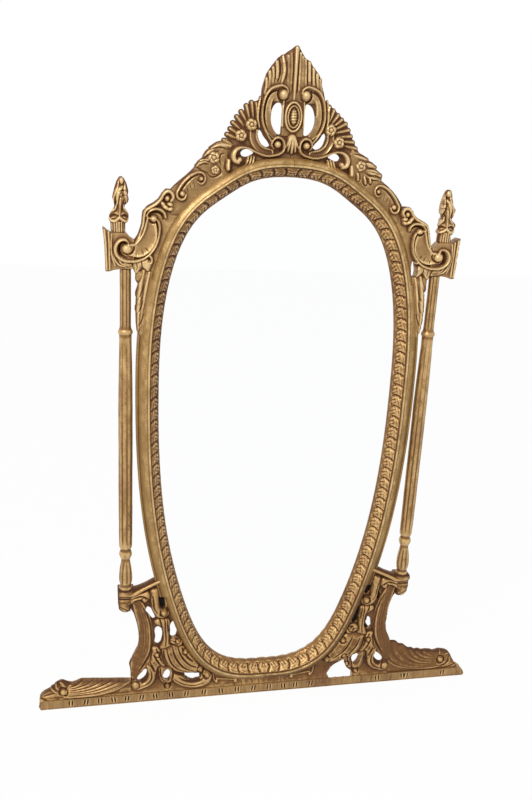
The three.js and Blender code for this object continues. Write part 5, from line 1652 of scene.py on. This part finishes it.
class MIRROR_OT_base(Operator):
    """Carves the rail along the floor and the shell-ribbed wings that stand on it"""
    bl_idname = "mirror.base"
    bl_label = "Base Rail and Wings"

    def execute(self, context):
        # Painted shade on the rail.
        add_board("carved_rail", carve_rail(), "base_rail", "Base gilding", painted_light_shift=-0.06)
        for hand, side in SIDES:
            # Painted shade on the right base wing; both are lighter near the floor, the left the most.
            add_board(f"carved_base_wing_{hand}", carve_base_wing(side), f"base_wing_{hand}", "Foot gilding in painted shade",
                    clean=0.14 if side < 0 else 0.02, painted_light_shift=0 if side < 0 else -0.04)
        return {"FINISHED"}


# Camera: yaw, pitch and roll in degrees, place in metres, lens and sensor in millimetres.
CAMERA_TURN = (12.13, 16.97, -3.02)
CAMERA_PLACE = (-0.464, -1.997, 1.534)
LENS, SENSOR = 35.93, 36.0
CLIPPING = (0.05, 60)
FLOOR_REACH, FLOOR_LEVEL = 9.0, -0.0005  # metres


class MIRROR_OT_stage(Operator):
    """Sets the camera, lamps, world and pale floor"""
    bl_idname = "mirror.stage"
    bl_label = "Stage"

    def execute(self, context):
        scene, stage = context.scene, context.scene.mirror_stage
        scene.view_settings.view_transform = "Standard"
        yaw, pitch, roll = (math.radians(a) for a in CAMERA_TURN)
        forward = Vector((math.sin(yaw) * math.cos(pitch), math.cos(yaw) * math.cos(pitch), -math.sin(pitch)))
        level = Vector((math.cos(yaw), -math.sin(yaw), 0))
        down = forward.cross(level)
        right = level * math.cos(roll) + down * math.sin(roll)
        below = down * math.cos(roll) - level * math.sin(roll)
        data = bpy.data.cameras.new("Camera")
        data.sensor_width, data.lens = SENSOR, LENS
        data.clip_start, data.clip_end = CLIPPING
        camera = bpy.data.objects.new("Camera", data)
        scene.collection.objects.link(camera)
        turn = Matrix((right, -below, -forward)).transposed().to_4x4()
        camera.matrix_world = Matrix.Translation(CAMERA_PLACE) @ turn
        scene.camera = camera
        self.lamp(scene, "Key", (-1.9, -2.2, 3.3), (0.0, 0.0, 1.0), 0.9, stage.key, (1.0, 0.955, 0.90))
        self.lamp(scene, "Fill", (2.6, -2.2, 1.5), (0.0, 0.0, 0.9), 2.2, stage.fill, (0.95, 0.97, 1.0))
        self.world(scene, stage)
        self.floor(scene, stage)
        return {"FINISHED"}

    def lamp(self, scene, name, place, target, size, power, tint):
        """Round soft lamp that faces a target."""
        data = bpy.data.lights.new(name, "AREA")
        data.shape, data.size, data.energy, data.color = "DISK", size, power, tint
        lamp = bpy.data.objects.new(name, data)
        scene.collection.objects.link(lamp)
        lamp.location = place
        lamp.rotation_euler = (Vector(target) - Vector(place)).to_track_quat("-Z", "Y").to_euler()

    def white_rays(self, maker):
        """1 for rays that see the backdrop: from the camera, off metal, or through glass."""
        path = [maker.node("ShaderNodeLightPath", out=name) for name in
                ("Is Camera Ray", "Is Glossy Ray", "Is Transmission Ray")]
        return path[0].math("MAXIMUM", path[0], path[1].math("MAXIMUM", path[1], path[2]))

    def world(self, scene, stage):
        """Even light from all round, which looks pure white to the rays that see the backdrop."""
        world = bpy.data.worlds.new("Studio")
        scene.world = world
        world.use_nodes = True
        tree = world.node_tree
        maker = Finish("Studio", tree)
        strength = self.white_rays(maker) * (1 - stage.ambient) + stage.ambient
        light = maker.node("ShaderNodeBackground", {}, {"Color": (1, 1, 1), "Strength": strength})
        out = tree.nodes.new("ShaderNodeOutputWorld")
        tree.links.new(light.output, out.inputs["Surface"])

    def floor(self, scene, stage):
        """Pale floor: matt where light falls on it, and mostly plain white to those same rays."""
        mesh = bpy.data.meshes.new("Floor")
        corners = [(FLOOR_REACH * x, FLOOR_REACH * y, FLOOR_LEVEL) for x, y in ((-1, -1), (1, -1), (1, 1), (-1, 1))]
        mesh.from_pydata(corners, [], [(0, 1, 2, 3)])
        floor = bpy.data.objects.new("Floor", mesh)
        scene.collection.objects.link(floor)
        f = Finish("Studio floor")
        pale = f.mix(f.noise(3, 3, 0.5) * 0.5, (0.93, 0.93, 0.93), (0.96, 0.96, 0.96))
        matt = f.node("ShaderNodeBsdfDiffuse", {}, {"Color": pale})
        white = f.node("ShaderNodeEmission", {}, {"Color": (1, 1, 1), "Strength": 1.0})
        mixed = f.node("ShaderNodeMixShader", {}, {0: self.white_rays(f) * stage.floor_white, 1: matt, 2: white})
        mesh.materials.append(f.output(mixed))


STEPS = (
    MIRROR_OT_finishes, MIRROR_OT_frame, MIRROR_OT_liner, MIRROR_OT_crest, MIRROR_OT_shoulders,
    MIRROR_OT_columns, MIRROR_OT_feet, MIRROR_OT_base, MIRROR_OT_stage,
)
SETTINGS = (
    ("mirror_gilding", GildingSettings), ("mirror_bare", BareSettings), ("mirror_carving", CarvingSettings),
    ("mirror_stage", StageSettings),
)


class MIRROR_PT_pieces(Panel):
    """Lists the steps that build the mirror, and their settings"""
    bl_idname = "MIRROR_PT_pieces"
    bl_label = "Floor Mirror"
    bl_space_type = "VIEW_3D"
    bl_region_type = "UI"
    bl_category = "Mirror"

    def draw(self, context):
        for step in STEPS:
            self.layout.operator(step.bl_idname)
        for name, group in SETTINGS:
            box = self.layout.box()
            for prop in group.__annotations__:
                box.prop(getattr(context.scene, name), prop)


def register():
    for name, group in SETTINGS:
        bpy.utils.register_class(group)
        setattr(bpy.types.Scene, name, PointerProperty(type=group))
    for cls in (*STEPS, MIRROR_PT_pieces):
        bpy.utils.register_class(cls)


def unregister():
    for cls in reversed((*STEPS, MIRROR_PT_pieces)):
        bpy.utils.unregister_class(cls)
    for name, group in SETTINGS:
        delattr(bpy.types.Scene, name)
        bpy.utils.unregister_class(group)


def main():
    register()
    for step in STEPS:
        group, name = step.bl_idname.split(".")
        getattr(getattr(bpy.ops, group), name)()


if __name__ == "__main__":
    main()
